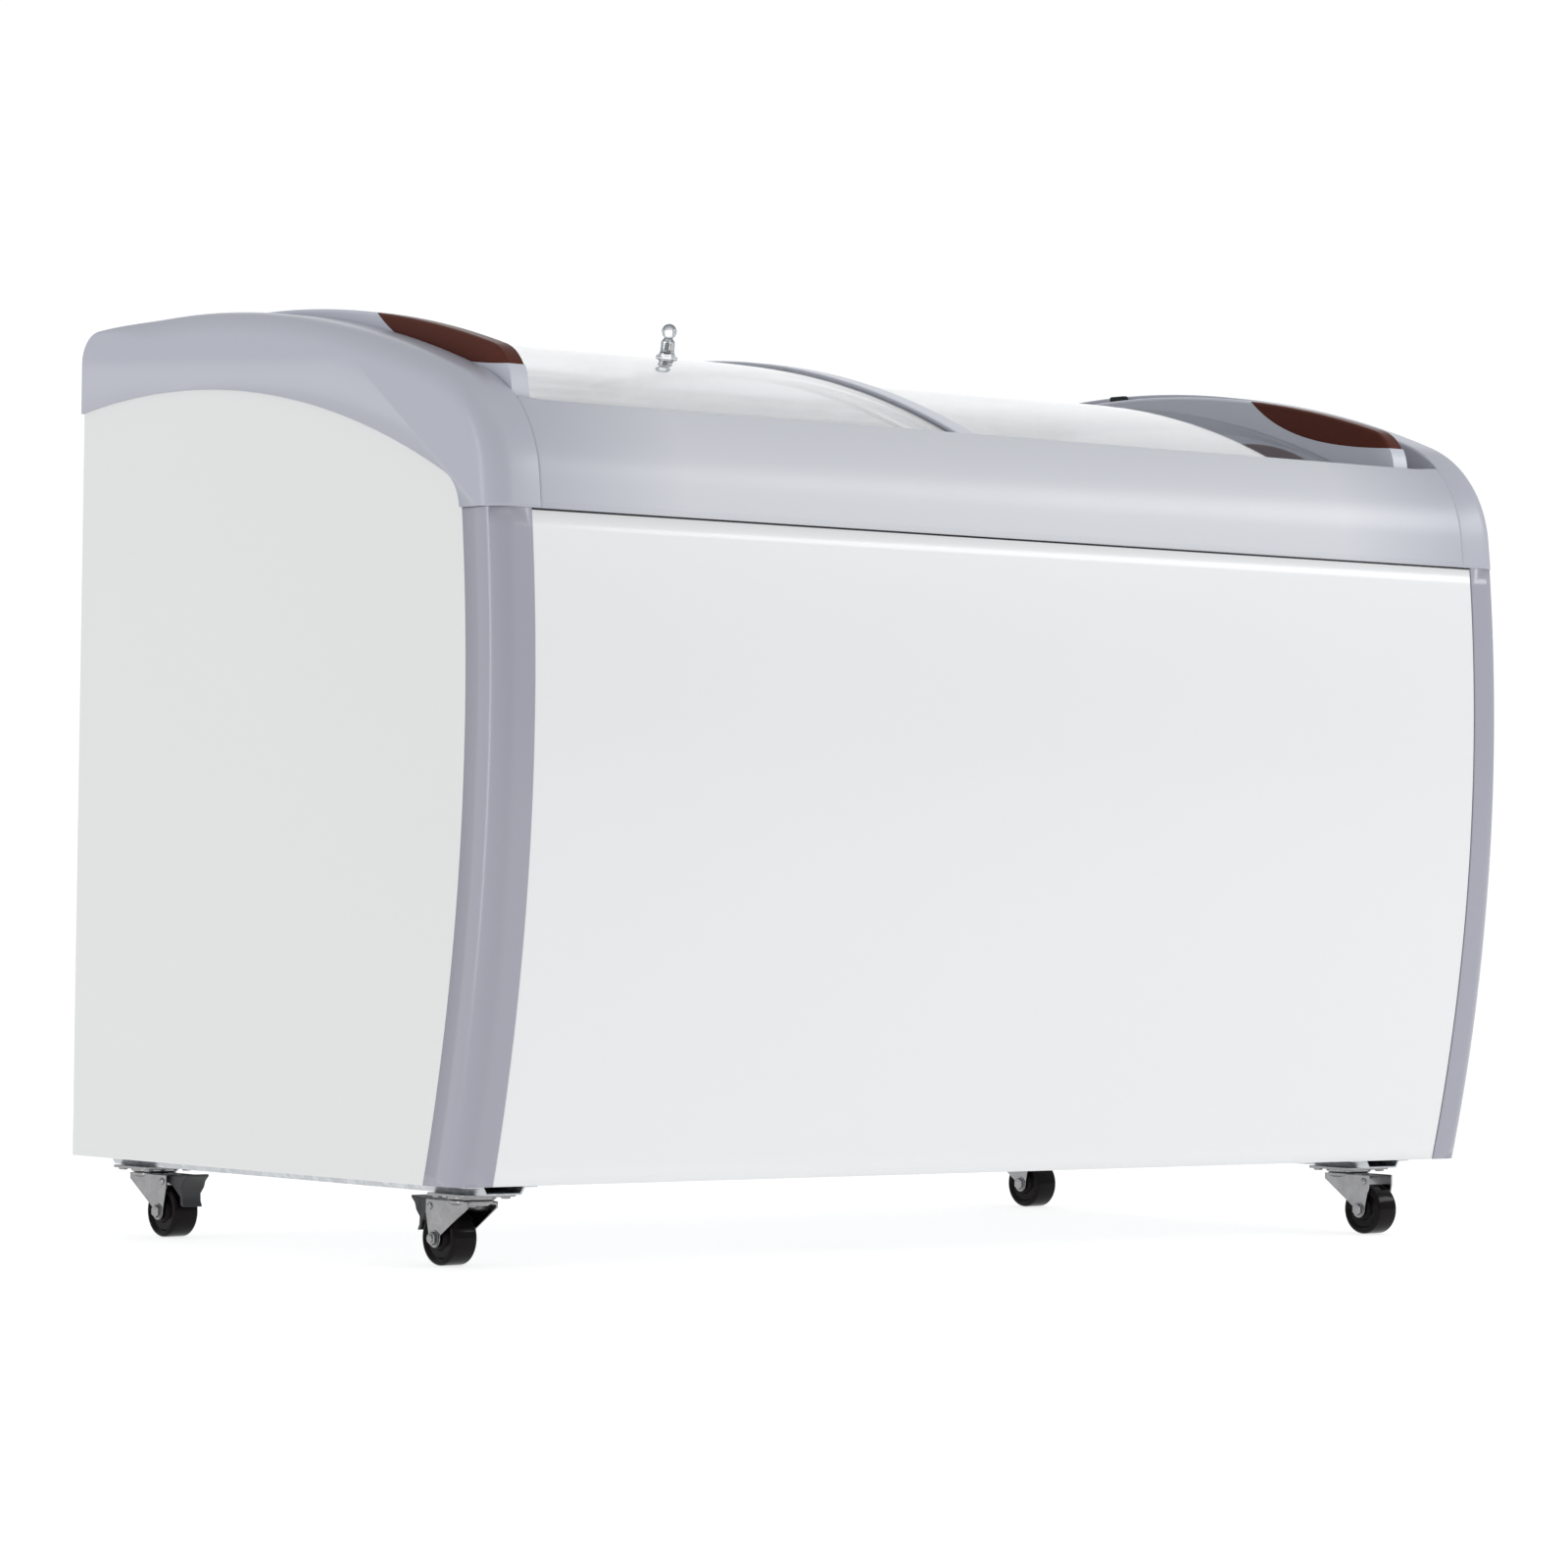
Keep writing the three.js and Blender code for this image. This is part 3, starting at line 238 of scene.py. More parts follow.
# %% Moulded plastics
def moulding(name, colour, shade, roughness, grain=2600, depth=0.00004, shine=0.45):
    """A pigmented moulding: fine mould grain, and slow flow marks in its colour and gloss."""
    material = shader(name, colour, roughness, Specular_IOR_Level=shine)
    flow = ramp(material, noise(material, 3, 1.0, (0.4, 1, 1)), 0, 1, 0.1, 0.9)
    feed(material, "Base Color", blend(material, flow, colour, shade))
    roughen(material, 12, roughness - 0.02, roughness + 0.02)
    emboss(material, noise(material, grain, 1.0), depth, 0.2)
    return material


cap_grey = moulding("cap_grey", (0.475, 0.487, 0.552), (0.462, 0.474, 0.54), 0.315)
# The posts are the caps' plastic painted darker: painted shade on faces turned away from the light.
painted_shade_post_grey = moulding("painted_shade_post_grey", (0.395, 0.395, 0.46), (0.383, 0.383, 0.448), 0.22)
# The rails are the caps' plastic painted lighter: painted light where their upward-facing round catches more light.
painted_lit_rail_grey = moulding("painted_lit_rail_grey", (0.66, 0.675, 0.715), (0.648, 0.663, 0.705), 0.315)
frame_grey = moulding("frame_grey", (0.6, 0.62, 0.69), (0.587, 0.607, 0.678), 0.315)
black_moulding = moulding("black_moulding", (0.018, 0.018, 0.02), (0.026, 0.026, 0.028), 0.42)
soft_rubber = moulding("soft_rubber", (0.016, 0.016, 0.017), (0.03, 0.03, 0.03), 0.75, 900, 0.0001)
hard_tread = moulding("hard_tread", (0.008, 0.007, 0.007), (0.006, 0.004, 0.004), 0.14, 1200, 0.00001, 0.1)


def run_into(material, colour, start, end):
    """Changes the colour to another one by the distance from the middle, so that two mouldings meet unseen."""
    place = node(material, "TexCoord").outputs["Object"]
    across = node(material, "SeparateXYZ", {"Vector": place}).outputs["X"]
    away = node(material, "Math", {0: across}, operation="ABSOLUTE").outputs["Value"]
    own = principled(material).inputs["Base Color"].links[0].from_socket
    feed(material, "Base Color", blend(material, ramp(material, away, 0, 1, start, end), own, colour))


# The rail's painted light fades out over its ends into the caps' own grey, so the lighter rail meets the cap with
# no step.
run_into(painted_lit_rail_grey, (0.47, 0.482, 0.547), 0.42, 0.5899)


# %% Speckled brown grip
def speckled(name):
    """Dark brown plastic with copper flakes set in it."""
    material = shader(name, (0.085, 0.014, 0.005), 0.38, Specular_IOR_Level=0.22)
    place = node(material, "TexCoord").outputs["Object"]
    cells = node(material, "TexVoronoi", {"Vector": place, "Scale": 1500.0})
    flake = ramp(material, cells.outputs["Distance"], 1, 0, 0.12, 0.3)
    chosen = ramp(material, noise(material, 900, 1.0), 0, 1, 0.5, 0.62)
    both = node(material, "Math", {0: flake, 1: chosen}, operation="MULTIPLY").outputs["Value"]
    feed(material, "Base Color", blend(material, both, (0.085, 0.014, 0.005), (0.5, 0.13, 0.04)))
    feed(material, "Metallic", both)
    emboss(material, noise(material, 2200, 2.0), 0.00004, 0.5)
    return material


speckled_brown = speckled("speckled_brown")


# %% Metals
def metal(name, colour, roughness, spread, per_metre=60, stretch=(1, 1, 1), bump=0.00003):
    material = shader(name, colour, roughness, 1.0)
    dull = tuple(c * 0.82 for c in colour)
    feed(material, "Base Color", blend(material, ramp(material, noise(material, per_metre), 0, 1), colour, dull))
    roughen(material, per_metre * 4, roughness - spread, roughness + spread, stretch)
    emboss(material, noise(material, per_metre * 14, 2.0, stretch), bump, 0.5)
    return material


def galvanised(name):
    """Hot-dip spangle: each crystal of zinc catches the light a little differently."""
    material = shader(name, (0.62, 0.64, 0.66), 0.4, 1.0)
    place = node(material, "TexCoord").outputs["Object"]
    crystals = node(material, "TexVoronoi", {"Vector": place, "Scale": 140.0}).outputs["Color"]
    grey = node(material, "RGBToBW", {"Color": crystals}).outputs["Val"]
    feed(material, "Base Color", blend(material, grey, (0.5, 0.52, 0.54), (0.72, 0.74, 0.76)))
    feed(material, "Roughness", ramp(material, grey, 0.32, 0.5, 0, 1))
    return material


bright_zinc = metal("bright_zinc", (0.35, 0.35, 0.355), 0.17, 0.05)
galvanised_sheet = galvanised("galvanised_sheet")
satin_aluminium = metal("satin_aluminium", (0.74, 0.76, 0.78), 0.35, 0.05, 40, (0.05, 1, 1))
bare_copper = metal("bare_copper", (0.72, 0.31, 0.17), 0.36, 0.07, 80)
black_enamel = enamel("black_enamel", (0.02, 0.02, 0.022), 0.4, 0.2)


# %% Glass and clear plastic
def clear(name, colour, roughness, index, smudge):
    material = shader(name, colour, roughness, Transmission_Weight=1.0, IOR=index)
    roughen(material, 5, roughness, roughness + smudge)
    return material


lid_pane = clear("lid_pane", (0.93, 0.945, 0.965), 0.012, 1.52, 0.02)
clear_acrylic = clear("clear_acrylic", (0.95, 0.97, 0.98), 0.03, 1.49, 0.03)


# %% Liner, foam and wire coating
def stucco(name):
    """Coated sheet with the pebbled embossing that hides frost marks."""
    material = shader(name, (0.8, 0.815, 0.84), 0.4)
    place = node(material, "TexCoord").outputs["Object"]
    pebbles = node(material, "TexVoronoi", {"Vector": place, "Scale": 260.0}, feature="SMOOTH_F1")
    roughen(material, 12, 0.34, 0.46)
    emboss(material, pebbles.outputs["Distance"], 0.0003, 0.4)
    return material


def rigid_foam(name):
    material = shader(name, (0.78, 0.66, 0.36), 0.95)
    cells = noise(material, 500, 4.0)
    feed(material, "Base Color", blend(material, ramp(material, cells, 0, 1), (0.8, 0.7, 0.42), (0.66, 0.52, 0.26)))
    emboss(material, cells, 0.0006)
    return material


liner_sheet = stucco("liner_sheet")
yellow_foam = rigid_foam("yellow_foam")
wire_coating = moulding("wire_coating", (0.82, 0.83, 0.825), (0.78, 0.79, 0.79), 0.35, 700, 0.00006)
print(len(bpy.data.materials), "materials")

# %% [markdown]
# ## Drawing tools
#
# Most of the freezer is a side view drawn with long arcs and pulled along its width. A vertex is enough to draw
# one: `bmesh.ops.spin` turns it about the arc's centre and leaves a row of edges behind it. `draw` strings such
# arcs and straight lines together, `pull` extrudes the face, and `sweep` spins a whole section about an axis.


# %% Side-view arcs
class Arc:
    """A circle in the side view: centre (y, z) and radius."""

    def __init__(self, y, z, radius):
        self.y = y
        self.z = z
        self.radius = radius

    def at_depth(self, y):
        """Its upper point at that y."""
        return (y, self.z + sqrt(self.radius**2 - (y - self.y) ** 2))

    def at_height(self, z):
        """Its front point at that z."""
        return (self.y - sqrt(self.radius**2 - (z - self.z) ** 2), z)

    def towards(self, other):
        """Its point in line with another arc's centre: where the two touch, if one rolls in the other."""
        reach = self.radius / hypot(other.y - self.y, other.z - self.z)
        return (self.y + (other.y - self.y) * reach, self.z + (other.z - self.z) * reach)

    def inset(self, depth):
        return Arc(self.y, self.z, self.radius - depth)


def crossing(a, b, side=1):
    """The front crossing of two arcs, or the rear one."""
    gap = hypot(b.y - a.y, b.z - a.z)
    uy, uz = (b.y - a.y) / gap, (b.z - a.z) / gap
    along = (a.radius**2 - b.radius**2 + gap**2) / (2 * gap)
    off = side * sqrt(a.radius**2 - along**2)
    return (a.y + along * uy + off * uz, a.z + along * uz - off * uy)


def rolling(front, top, radius):
    """The round that touches a front arc and a top arc from inside."""
    return Arc(*crossing(front.inset(radius), top.inset(radius)), radius)


# %% Outlines, solids and sweeps
def draw(bm, x, start, *strokes):
    """Draws an outline in the plane at x. A stroke is a point, (arc, end, steps), or a list of points."""
    chain = [bm.verts.new((x, *start))]
    for stroke in strokes:
        if isinstance(stroke, list):
            for at in stroke:
                chain.append(bm.verts.new((x, *at)))
                bm.edges.new(chain[-2:])
        elif isinstance(stroke[0], Arc):
            arc, end, steps = stroke
            now = chain[-1].co
            turn = atan2(end[1] - arc.z, end[0] - arc.y) - atan2(now.z - arc.z, now.y - arc.y)
            turn = (turn + pi) % (2 * pi) - pi
            for _ in range(steps):
                spun = bmesh.ops.spin(
                    bm, geom=[chain[-1]], cent=(x, arc.y, arc.z), axis=(1, 0, 0), angle=turn / steps, steps=1
                )
                chain.append([v for v in spun["geom_last"] if isinstance(v, bmesh.types.BMVert)][0])
        else:
            chain.append(bm.verts.new((x, *stroke)))
            bm.edges.new(chain[-2:])
    return chain


def verts_of(geometry):
    return [g for g in geometry if isinstance(g, bmesh.types.BMVert)]


def edges_of(geometry):
    return [g for g in geometry if isinstance(g, bmesh.types.BMEdge)]


def pull(bm, chain, move):
    """Fills a closed outline and extrudes it into a solid; gives the far end's vertices."""
    face = bm.faces.new(chain)
    twin = face.copy()
    grown = bmesh.ops.extrude_face_region(bm, geom=[face])["geom"]
    bmesh.ops.translate(bm, vec=move, verts=verts_of(grown))
    bmesh.ops.remove_doubles(bm, verts=[*verts_of(grown), *chain, *twin.verts], dist=1e-4)
    return verts_of(grown)


def sweep(bm, geometry, arc, angle, steps):
    """Spins a section about the X axis through an arc's centre."""
    bmesh.ops.spin(bm, geom=geometry, cent=(0, arc.y, arc.z), axis=(1, 0, 0), angle=angle, steps=steps)


def stand(bm, verts, at, turn, axis):
    """Turns a shape about an axis through the origin, then moves it to its place."""
    bmesh.ops.transform(bm, matrix=Matrix.Translation(at) @ Matrix.Rotation(turn, 4, axis), verts=verts)


def lathe(bm, profile, axis, centre=(0, 0, 0), steps=48):
    """Turns a profile of (radius, height) round an axis through centre: 'X', 'Y' or 'Z'."""
    before = set(bm.verts)
    chain = [bm.verts.new((radius, 0, height)) for radius, height in profile]
    wire = [bm.edges.new(pair) for pair in zip(chain, chain[1:])]
    bmesh.ops.spin(
        bm, geom=[*chain, *wire], cent=(0, 0, 0), axis=(0, 0, 1), angle=2 * pi, steps=steps, use_merge=True
    )
    bmesh.ops.remove_doubles(bm, verts=[v for v in bm.verts if v not in before], dist=1e-4)
    made = [v for v in bm.verts if v not in before]
    turns = {"X": Matrix.Rotation(pi / 2, 4, "Y"), "Y": Matrix.Rotation(-pi / 2, 4, "X"), "Z": Matrix.Identity(4)}
    bmesh.ops.transform(bm, matrix=Matrix.Translation(centre) @ turns[axis], verts=made)
    return made


def trim(bm, height, side):
    """Cuts everything away above a level (side 1) or below it (side -1)."""
    everything = [*bm.verts, *bm.edges, *bm.faces]
    level = {"plane_co": (0, 0, height), "plane_no": (0, 0, side)}
    bmesh.ops.bisect_plane(bm, geom=everything, clear_outer=True, dist=1e-4, **level)


def block(bm, low, high):
    size = [b - a for a, b in zip(low, high)]
    middle = [(a + b) / 2 for a, b in zip(low, high)]
    made = bmesh.ops.create_cube(bm, size=1)["verts"]
    bmesh.ops.scale(bm, vec=size, verts=made)
    bmesh.ops.translate(bm, vec=middle, verts=made)
    return made


def smooth_step(t):
    t = max(0, min(1, t))
    return t * t * (3 - 2 * t)


# %% Finishing a piece
SHARP = radians(32)


def crease(bm, weight, where=lambda middle: True):
    """Gives the sharp edges a bevel weight, where the edge's middle passes a test."""
    layer = bm.edges.layers.float.get("bevel_weight_edge") or bm.edges.layers.float.new("bevel_weight_edge")
    for edge in bm.edges:
        middle = (edge.verts[0].co + edge.verts[1].co) / 2
        if len(edge.link_faces) == 2 and abs(edge.calc_face_angle(0)) > SHARP and where(middle):
            edge[layer] = weight


def piece(name, bm, body, material, replaces=()):
    """Makes the object: merges, turns faces out, scales to metres, and lets it ride on its body."""
    bmesh.ops.remove_doubles(bm, verts=bm.verts, dist=0.001)
    bmesh.ops.recalc_face_normals(bm, faces=bm.faces)
    bmesh.ops.scale(bm, vec=(MM, MM, MM), verts=bm.verts)
    mesh = bpy.data.meshes.new(name)
    bm.to_mesh(mesh)
    bm.free()
    mesh.shade_smooth()
    mesh.set_sharp_from_angle(angle=SHARP)
    mesh.materials.append(material)
    made = bpy.data.objects.new(name, mesh)
    scene.collection.objects.link(made)
    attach(made, body)
    if replaces:
        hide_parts(*replaces)
    return made


def round_edges(made, width, segments=3, by_weight=False):
    """Bevels the sharp edges; the width is in millimetres."""
    bevel = made.modifiers.new("round_edges", "BEVEL")
    bevel.width = width * MM
    bevel.segments = segments
    bevel.limit_method = "WEIGHT" if by_weight else "ANGLE"
    bevel.angle_limit = SHARP
    bevel.harden_normals = True
    return made


def thicken(made, wall):
    """Gives a sheet its wall, inwards from the drawn face; in millimetres."""
    solid = made.modifiers.new("wall", "SOLIDIFY")
    solid.thickness = wall * MM
    solid.offset = -1
    solid.use_even_offset = True
    return made


def mirrored(bm):
    """A copy of a shape on the other side of the middle."""
    twin = bm.copy()
    bmesh.ops.scale(twin, vec=(-1, 1, 1), verts=twin.verts)
    bmesh.ops.reverse_faces(twin, faces=twin.faces)
    return twin


# %% [markdown]
# ## Driving dimensions
#
# The side view has one bowed front, a crown that the caps follow, and two arcs about one centre that the panes
# slide on. The cabinet is 1280 mm wide, and the caps stand 3 mm proud of it on each side.

# %% The side view
FRONT = Arc(1429, 500, 1770)
CROWN = Arc(170, -353, 1235)
PANEL_TOP = Arc(175, -221.6, 1030)
POST_REAR = FRONT.inset(50)
LIDS = Arc(188, -185, 1031)
CROWN_ROUND = rolling(FRONT, CROWN, 120)
PANEL_CORNER = rolling(POST_REAR, PANEL_TOP, 40)
BODY_HALF = 640
CAP_OUTER = 643
CAP_INNER = 590
BODY_BOTTOM = 76
SEAM = 680
REAR = 340
REAR_CORNER = Arc(310, CROWN.inset(30).at_depth(310)[1], 30)
JOINT = 0.3
HAIRLINE = 0.05
FRONT_HALF = 599.5
PANEL_GAP = 2
print("the crown is", round(CROWN.at_depth(CROWN.y)[1]), "mm high")
print("the front bows to", round(FRONT.y - FRONT.radius), "mm")

# %% [markdown]
# ## Steel panels
#
# The front is one enamelled sheet, bent to a long arc between the posts. An edge across the whole width is spun
# about the arc's centre, then trimmed level at the top and bottom, because a spun sheet ends square to the arc.
# The side panels are flat sheets cut to the curve of the caps, with a lap that goes up behind them.


# %% Bowed front panel
def spun_front(section, extra=2.5, steps=40, ceiling=SEAM - JOINT):
    """Spins a section of (x, depth behind the front arc) points up the front, and trims it level."""
    bm = bmesh.new()
    low = FRONT.at_height(BODY_BOTTOM)
    start = atan2(low[1] - FRONT.z, low[0] - FRONT.y) + radians(extra)
    top = FRONT.at_height(SEAM)
    end = atan2(top[1] - FRONT.z, top[0] - FRONT.y) - radians(extra)
    chain = []
    for x, depth in section:
        reach = FRONT.radius - depth
        chain.append(bm.verts.new((x, FRONT.y + reach * cos(start), FRONT.z + reach * sin(start))))
    wire = [bm.edges.new(pair) for pair in zip(chain, chain[1:])]
    turn = (end - start + pi) % (2 * pi) - pi
    sweep(bm, [*chain, *wire], FRONT, turn, steps)
    for height, side in ((BODY_BOTTOM, -1), (ceiling, 1)):
        trim(bm, height, side)
    return bm


def front_panel():
    half = FRONT_HALF
    bm = spun_front([(-half, 9), (-half, 1), (half, 1), (half, 9)], ceiling=SEAM - PANEL_GAP)
    made = piece("bowed_front_panel", bm, "cabinet", front_enamel, ["front_panel"])
    round_edges(made, 0.8, 3)
    thicken(made, 1)
    depth = FRONT.at_height(SEAM)[0]
    # A black rubber strip fills the 2 mm gap below the rail: a painted shadow line, a dark strip set where there is
    # only shade.
    strip = bmesh.new()
    block(strip, (-half, depth + 1.6, SEAM - 1.9), (half, depth + 4, SEAM - JOINT))
    round_edges(piece("rail_gap_shadow_strip", strip, "cabinet", soft_rubber), 0.3, 2)


front_panel()


# %% Side panels
def side_outline(bm, x):
    lap = Arc(PANEL_TOP.y, PANEL_TOP.z, PANEL_TOP.radius + 10)
    bottom = POST_REAR.at_height(BODY_BOTTOM)
    seam = POST_REAR.at_height(SEAM)
    rear = REAR - 3
    raised = [(seam[0], SEAM + 40), lap.at_depth(PANEL_CORNER.y)]
    return draw(bm, x, bottom, (POST_REAR, seam, 30), raised, (lap, lap.at_depth(rear), 24), [(rear, BODY_BOTTOM)])


def side_panels():
    bm = bmesh.new()
    pull(bm, side_outline(bm, BODY_HALF), (-1.2, 0, 0))
    for side, shape in (("right", bm), ("left", mirrored(bm))):
        made = piece(f"{side}_side_sheet", shape, "cabinet", painted_shade_enamel, [f"{side}_side_panel"])
        round_edges(made, 0.5, 2)


side_panels()

# %% [markdown]
# ## Corner posts, end caps and rails
#
# The posts are extrusion-like mouldings with a 20 mm round corner, so an L-shaped section with one beveled vertex
# is spun up the same front arc. The end caps are hollow shells. Their rounding can't be one width all round: it
# is wide over the crown and down the front, where it runs into the post, and nearly sharp at the rear, where the
# cap meets the square steel. So the cap's section is extruded from station to station along the crown, and each
# station has its own round. A bevel modifier can't do this: neighbouring edges with two widths would tear.


# %% Corner posts
def corner_posts():
    corner, radius = BODY_HALF, 20
    arc = [(corner - radius + radius * sin(a), radius - radius * cos(a)) for a in [i * pi / 20 for i in range(11)]]
    bm = spun_front([(CAP_INNER + 10, 3), (CAP_INNER + 10, 0), *arc, (corner, 49.6)])
    for side, shape in (("right", bm), ("left", mirrored(bm))):
        made = piece(f"{side}_post_shell", shape, "cabinet", painted_shade_post_grey, [f"{side}_corner_post"])
        round_edges(made, 0.8, 3)
        thicken(made, 2.4)


corner_posts()


# %% End caps
WIDE = 23
REAR_WIDE = 3
FINE = 2.8
CAP_WALL = 2.6
RAIL_EDGE = -290


def crown_stations():
    """Places along the cap's crown, from the seam to the foot of its rear wall: point, way out, two rounds."""
    strokes = (
        (FRONT, FRONT.at_height(SEAM - 4), FRONT.towards(CROWN_ROUND), 5),
        (CROWN_ROUND, FRONT.towards(CROWN_ROUND), CROWN.towards(CROWN_ROUND), 16),
        (CROWN, CROWN.towards(CROWN_ROUND), CROWN.towards(REAR_CORNER), 48),
        (REAR_CORNER, CROWN.towards(REAR_CORNER), (REAR, REAR_CORNER.z), 8),
    )
    places = []
    for arc, start, end, steps in strokes:
        first = atan2(start[1] - arc.z, start[0] - arc.y)
        turn = (atan2(end[1] - arc.z, end[0] - arc.y) - first + pi) % (2 * pi) - pi
        for i in range(0 if not places else 1, steps + 1):
            out = Vector((cos(first + turn * i / steps), sin(first + turn * i / steps)))
            places.append((Vector((arc.y, arc.z)) + arc.radius * out, out))
    places.append((Vector((REAR, PANEL_TOP.at_depth(REAR)[1])), Vector((1, 0))))
    return [
        (
            at, out, REAR_WIDE + (WIDE - REAR_WIDE) * smooth_step((REAR - 20 - at.x) / 110),
            HAIRLINE + (FINE - HAIRLINE) * smooth_step((at.x - RAIL_EDGE) / 20),
        )
        for at, out in places
    ]


def cap_section(at, out, wide, fine):
    """Across the crown: a fine round at the lids, a flat, and the wide round at the outer side."""
    row = []
    for centre, radius, first, steps in ((CAP_INNER + fine, fine, -pi / 2, 4), (CAP_OUTER - wide, wide, 0, 12)):
        for i in range(steps + 1):
            turn = first + i * pi / 2 / steps
            place = at - out * radius * (1 - cos(turn))
            row.append(Vector((centre + radius * sin(turn), place.x, place.y)))
    return row


def end_caps():
    bm = bmesh.new()
    stations = crown_stations()
    row = [bm.verts.new(co) for co in cap_section(*stations[0])]
    wire = [bm.edges.new(pair) for pair in zip(row, row[1:])]
    inner, outer = [row[0]], [row[-1]]
    for station in stations[1:]:
        grown = bmesh.ops.extrude_edge_only(bm, edges=wire)["geom"]
        fresh = set(verts_of(grown))
        row = [next(e.other_vert(v) for e in v.link_edges if e.other_vert(v) in fresh) for v in row]
        for vert, co in zip(row, cap_section(*station)):
            vert.co = co
        wire = edges_of(grown)
        inner.append(row[0])
        outer.append(row[-1])
    row[0].co.z = LIDS.at_depth(row[0].co.y)[1]
    lower = draw(
        bm, CAP_OUTER, PANEL_TOP.at_depth(REAR - 8), (PANEL_TOP, PANEL_TOP.towards(PANEL_CORNER), 36),
        (PANEL_CORNER, POST_REAR.towards(PANEL_CORNER), 8), POST_REAR.at_height(SEAM - 4),
    )
    raised = [bm.verts.new((CAP_INNER, v.co.y, max(v.co.z, LIDS.at_depth(v.co.y)[1]))) for v in lower]
    bm.faces.new([*outer, *lower])
    bm.faces.new([*inner, *raised])
    trim(bm, SEAM, -1)
    for side, shape in (("right", bm), ("left", mirrored(bm))):
        made = piece(f"{side}_cap_shell", shape, "cabinet", cap_grey, [f"{side}_end_cap"])
        thicken(made, CAP_WALL)


end_caps()

# %% [markdown]
# ## Front rail
#
# The rail is lower than the caps, and yet no seam shows where they meet: the moulding swells over its last
# 30 mm to the cap's section. The rail's section is extruded station by station, and near the ends each point
# moves out along its own radius until it lies on the cap's larger round.

# %% Front rail
RAIL_ROUND = 111
SWELL = 34


def swell(point, share):
    """Moves a section point out along the rail round's radius, towards the cap's round."""
    centre = RAIL.y, RAIL.z
    dy, dz = point[0] - centre[0], point[1] - centre[1]
    reach = hypot(dy, dz)
    uy, uz = dy / reach, dz / reach
    oy, oz = centre[0] - CROWN_ROUND.y, centre[1] - CROWN_ROUND.z
    along = uy * oy + uz * oz
    out = -along + sqrt(along**2 - (oy**2 + oz**2 - CROWN_ROUND.radius**2))
    rise = max(0, out - RAIL.radius) * share
    return point[0] + uy * rise, point[1] + uz * rise


rail_centre = FRONT.inset(RAIL_ROUND).towards(CROWN_ROUND)
RAIL = Arc(*rail_centre, RAIL_ROUND)


def front_rail():
    bm = bmesh.new()
    half = CAP_INNER - HAIRLINE
    edge = RAIL.at_depth(RAIL_EDGE)
    lip = (edge[0], edge[1] - 8)
    chain = draw(bm, -half, FRONT.at_height(SEAM), (FRONT, FRONT.towards(RAIL), 5), (RAIL, edge, 22), lip)
    last = edges_of({e for v in chain for e in v.link_edges})
    steps = 12
    stations = [-half + SWELL * i / steps for i in range(1, steps + 1)]
    stations += [-400, -200, 0, 200, 400] + [half - SWELL * (steps - i) / steps for i in range(steps + 1)]
    here = -half
    for x in stations:
        grown = bmesh.ops.extrude_edge_only(bm, edges=last)["geom"]
        bmesh.ops.translate(bm, vec=(x - here, 0, 0), verts=verts_of(grown))
        last = edges_of(grown)
        here = x
    tangent = FRONT.towards(RAIL)[1]
    for vert in bm.verts:
        share = smooth_step((abs(vert.co.x) - half + SWELL) / SWELL)
        if share > 0 and vert.co.z > tangent + 0.01:
            vert.co.yz = swell((vert.co.y, vert.co.z), share)
    made = piece("front_rail_shell", bm, "cabinet", painted_lit_rail_grey, ["front_rail"])
    round_edges(made, 1.6, 3)
    return thicken(made, 2.8)


front_rail()


# %% Rear rail
def rear_rail():
    bm = bmesh.new()
    half = CAP_INNER - JOINT
    edge = CROWN.at_depth(291)
    corner = CROWN.towards(REAR_CORNER)
    lip = (edge[0], edge[1] - 8)
    chain = draw(bm, -half, lip, edge, (CROWN, corner, 3), (REAR_CORNER, (REAR, REAR_CORNER.z), 10), (REAR, 797))
    wire = edges_of({e for v in chain for e in v.link_edges})
    grown = bmesh.ops.extrude_edge_only(bm, edges=wire)["geom"]
    bmesh.ops.translate(bm, vec=(2 * half, 0, 0), verts=verts_of(grown))
    made = piece("rear_rail_shell", bm, "cabinet", painted_lit_rail_grey, ["rear_rail"])
    round_edges(made, 1.6, 3)
    return thicken(made, 2.6)


rear_rail()

# %% [markdown]
# ## Lids
#
# Each lid is a bent pane in a raised side frame. The frame's front part is a brown grip, parted from the grey by
# one S-shaped line, so the same curve closes both outlines and they meet in a fine groove. The panes are arcs of
# 4 mm tempered glass about one centre: the left one lies 10 mm above the right one.

# %% Lid outlines
FRAME_WIDTH = 20
NOSE_SETBACK = 30.8
NOSE_ROUND = 45
FRAME_FOOT = 777
LIDS_AT = {
    "left": {"outer": -590, "inner": 0, "glass": 1060, "drop": 0},
    "right": {"outer": 552, "inner": -63, "glass": 1050, "drop": 11},
}


def parting(drop):
    """The curve between grip and frame, from the top of the frame to the nose."""
    ends = [Vector((y, z - drop)) for y, z in ((-78, 870.4), (-112, 840), (-165, 815), (-300, 811))]

    def at(t):
        row = ends
        while len(row) > 1:
            row = [a.lerp(b, t) for a, b in zip(row, row[1:])]
        return tuple(row[0])

    return at


def where_it_leaves(curve, nose):
    """How far along a curve it comes out through the round nose, by halving."""
    low, high = 0.0, 1.0
    for _ in range(30):
        middle = (low + high) / 2
        y, z = curve(middle)
        if y > nose.y or hypot(y - nose.y, z - nose.z) < nose.radius:
            low = middle
        else:
            high = middle
    return low


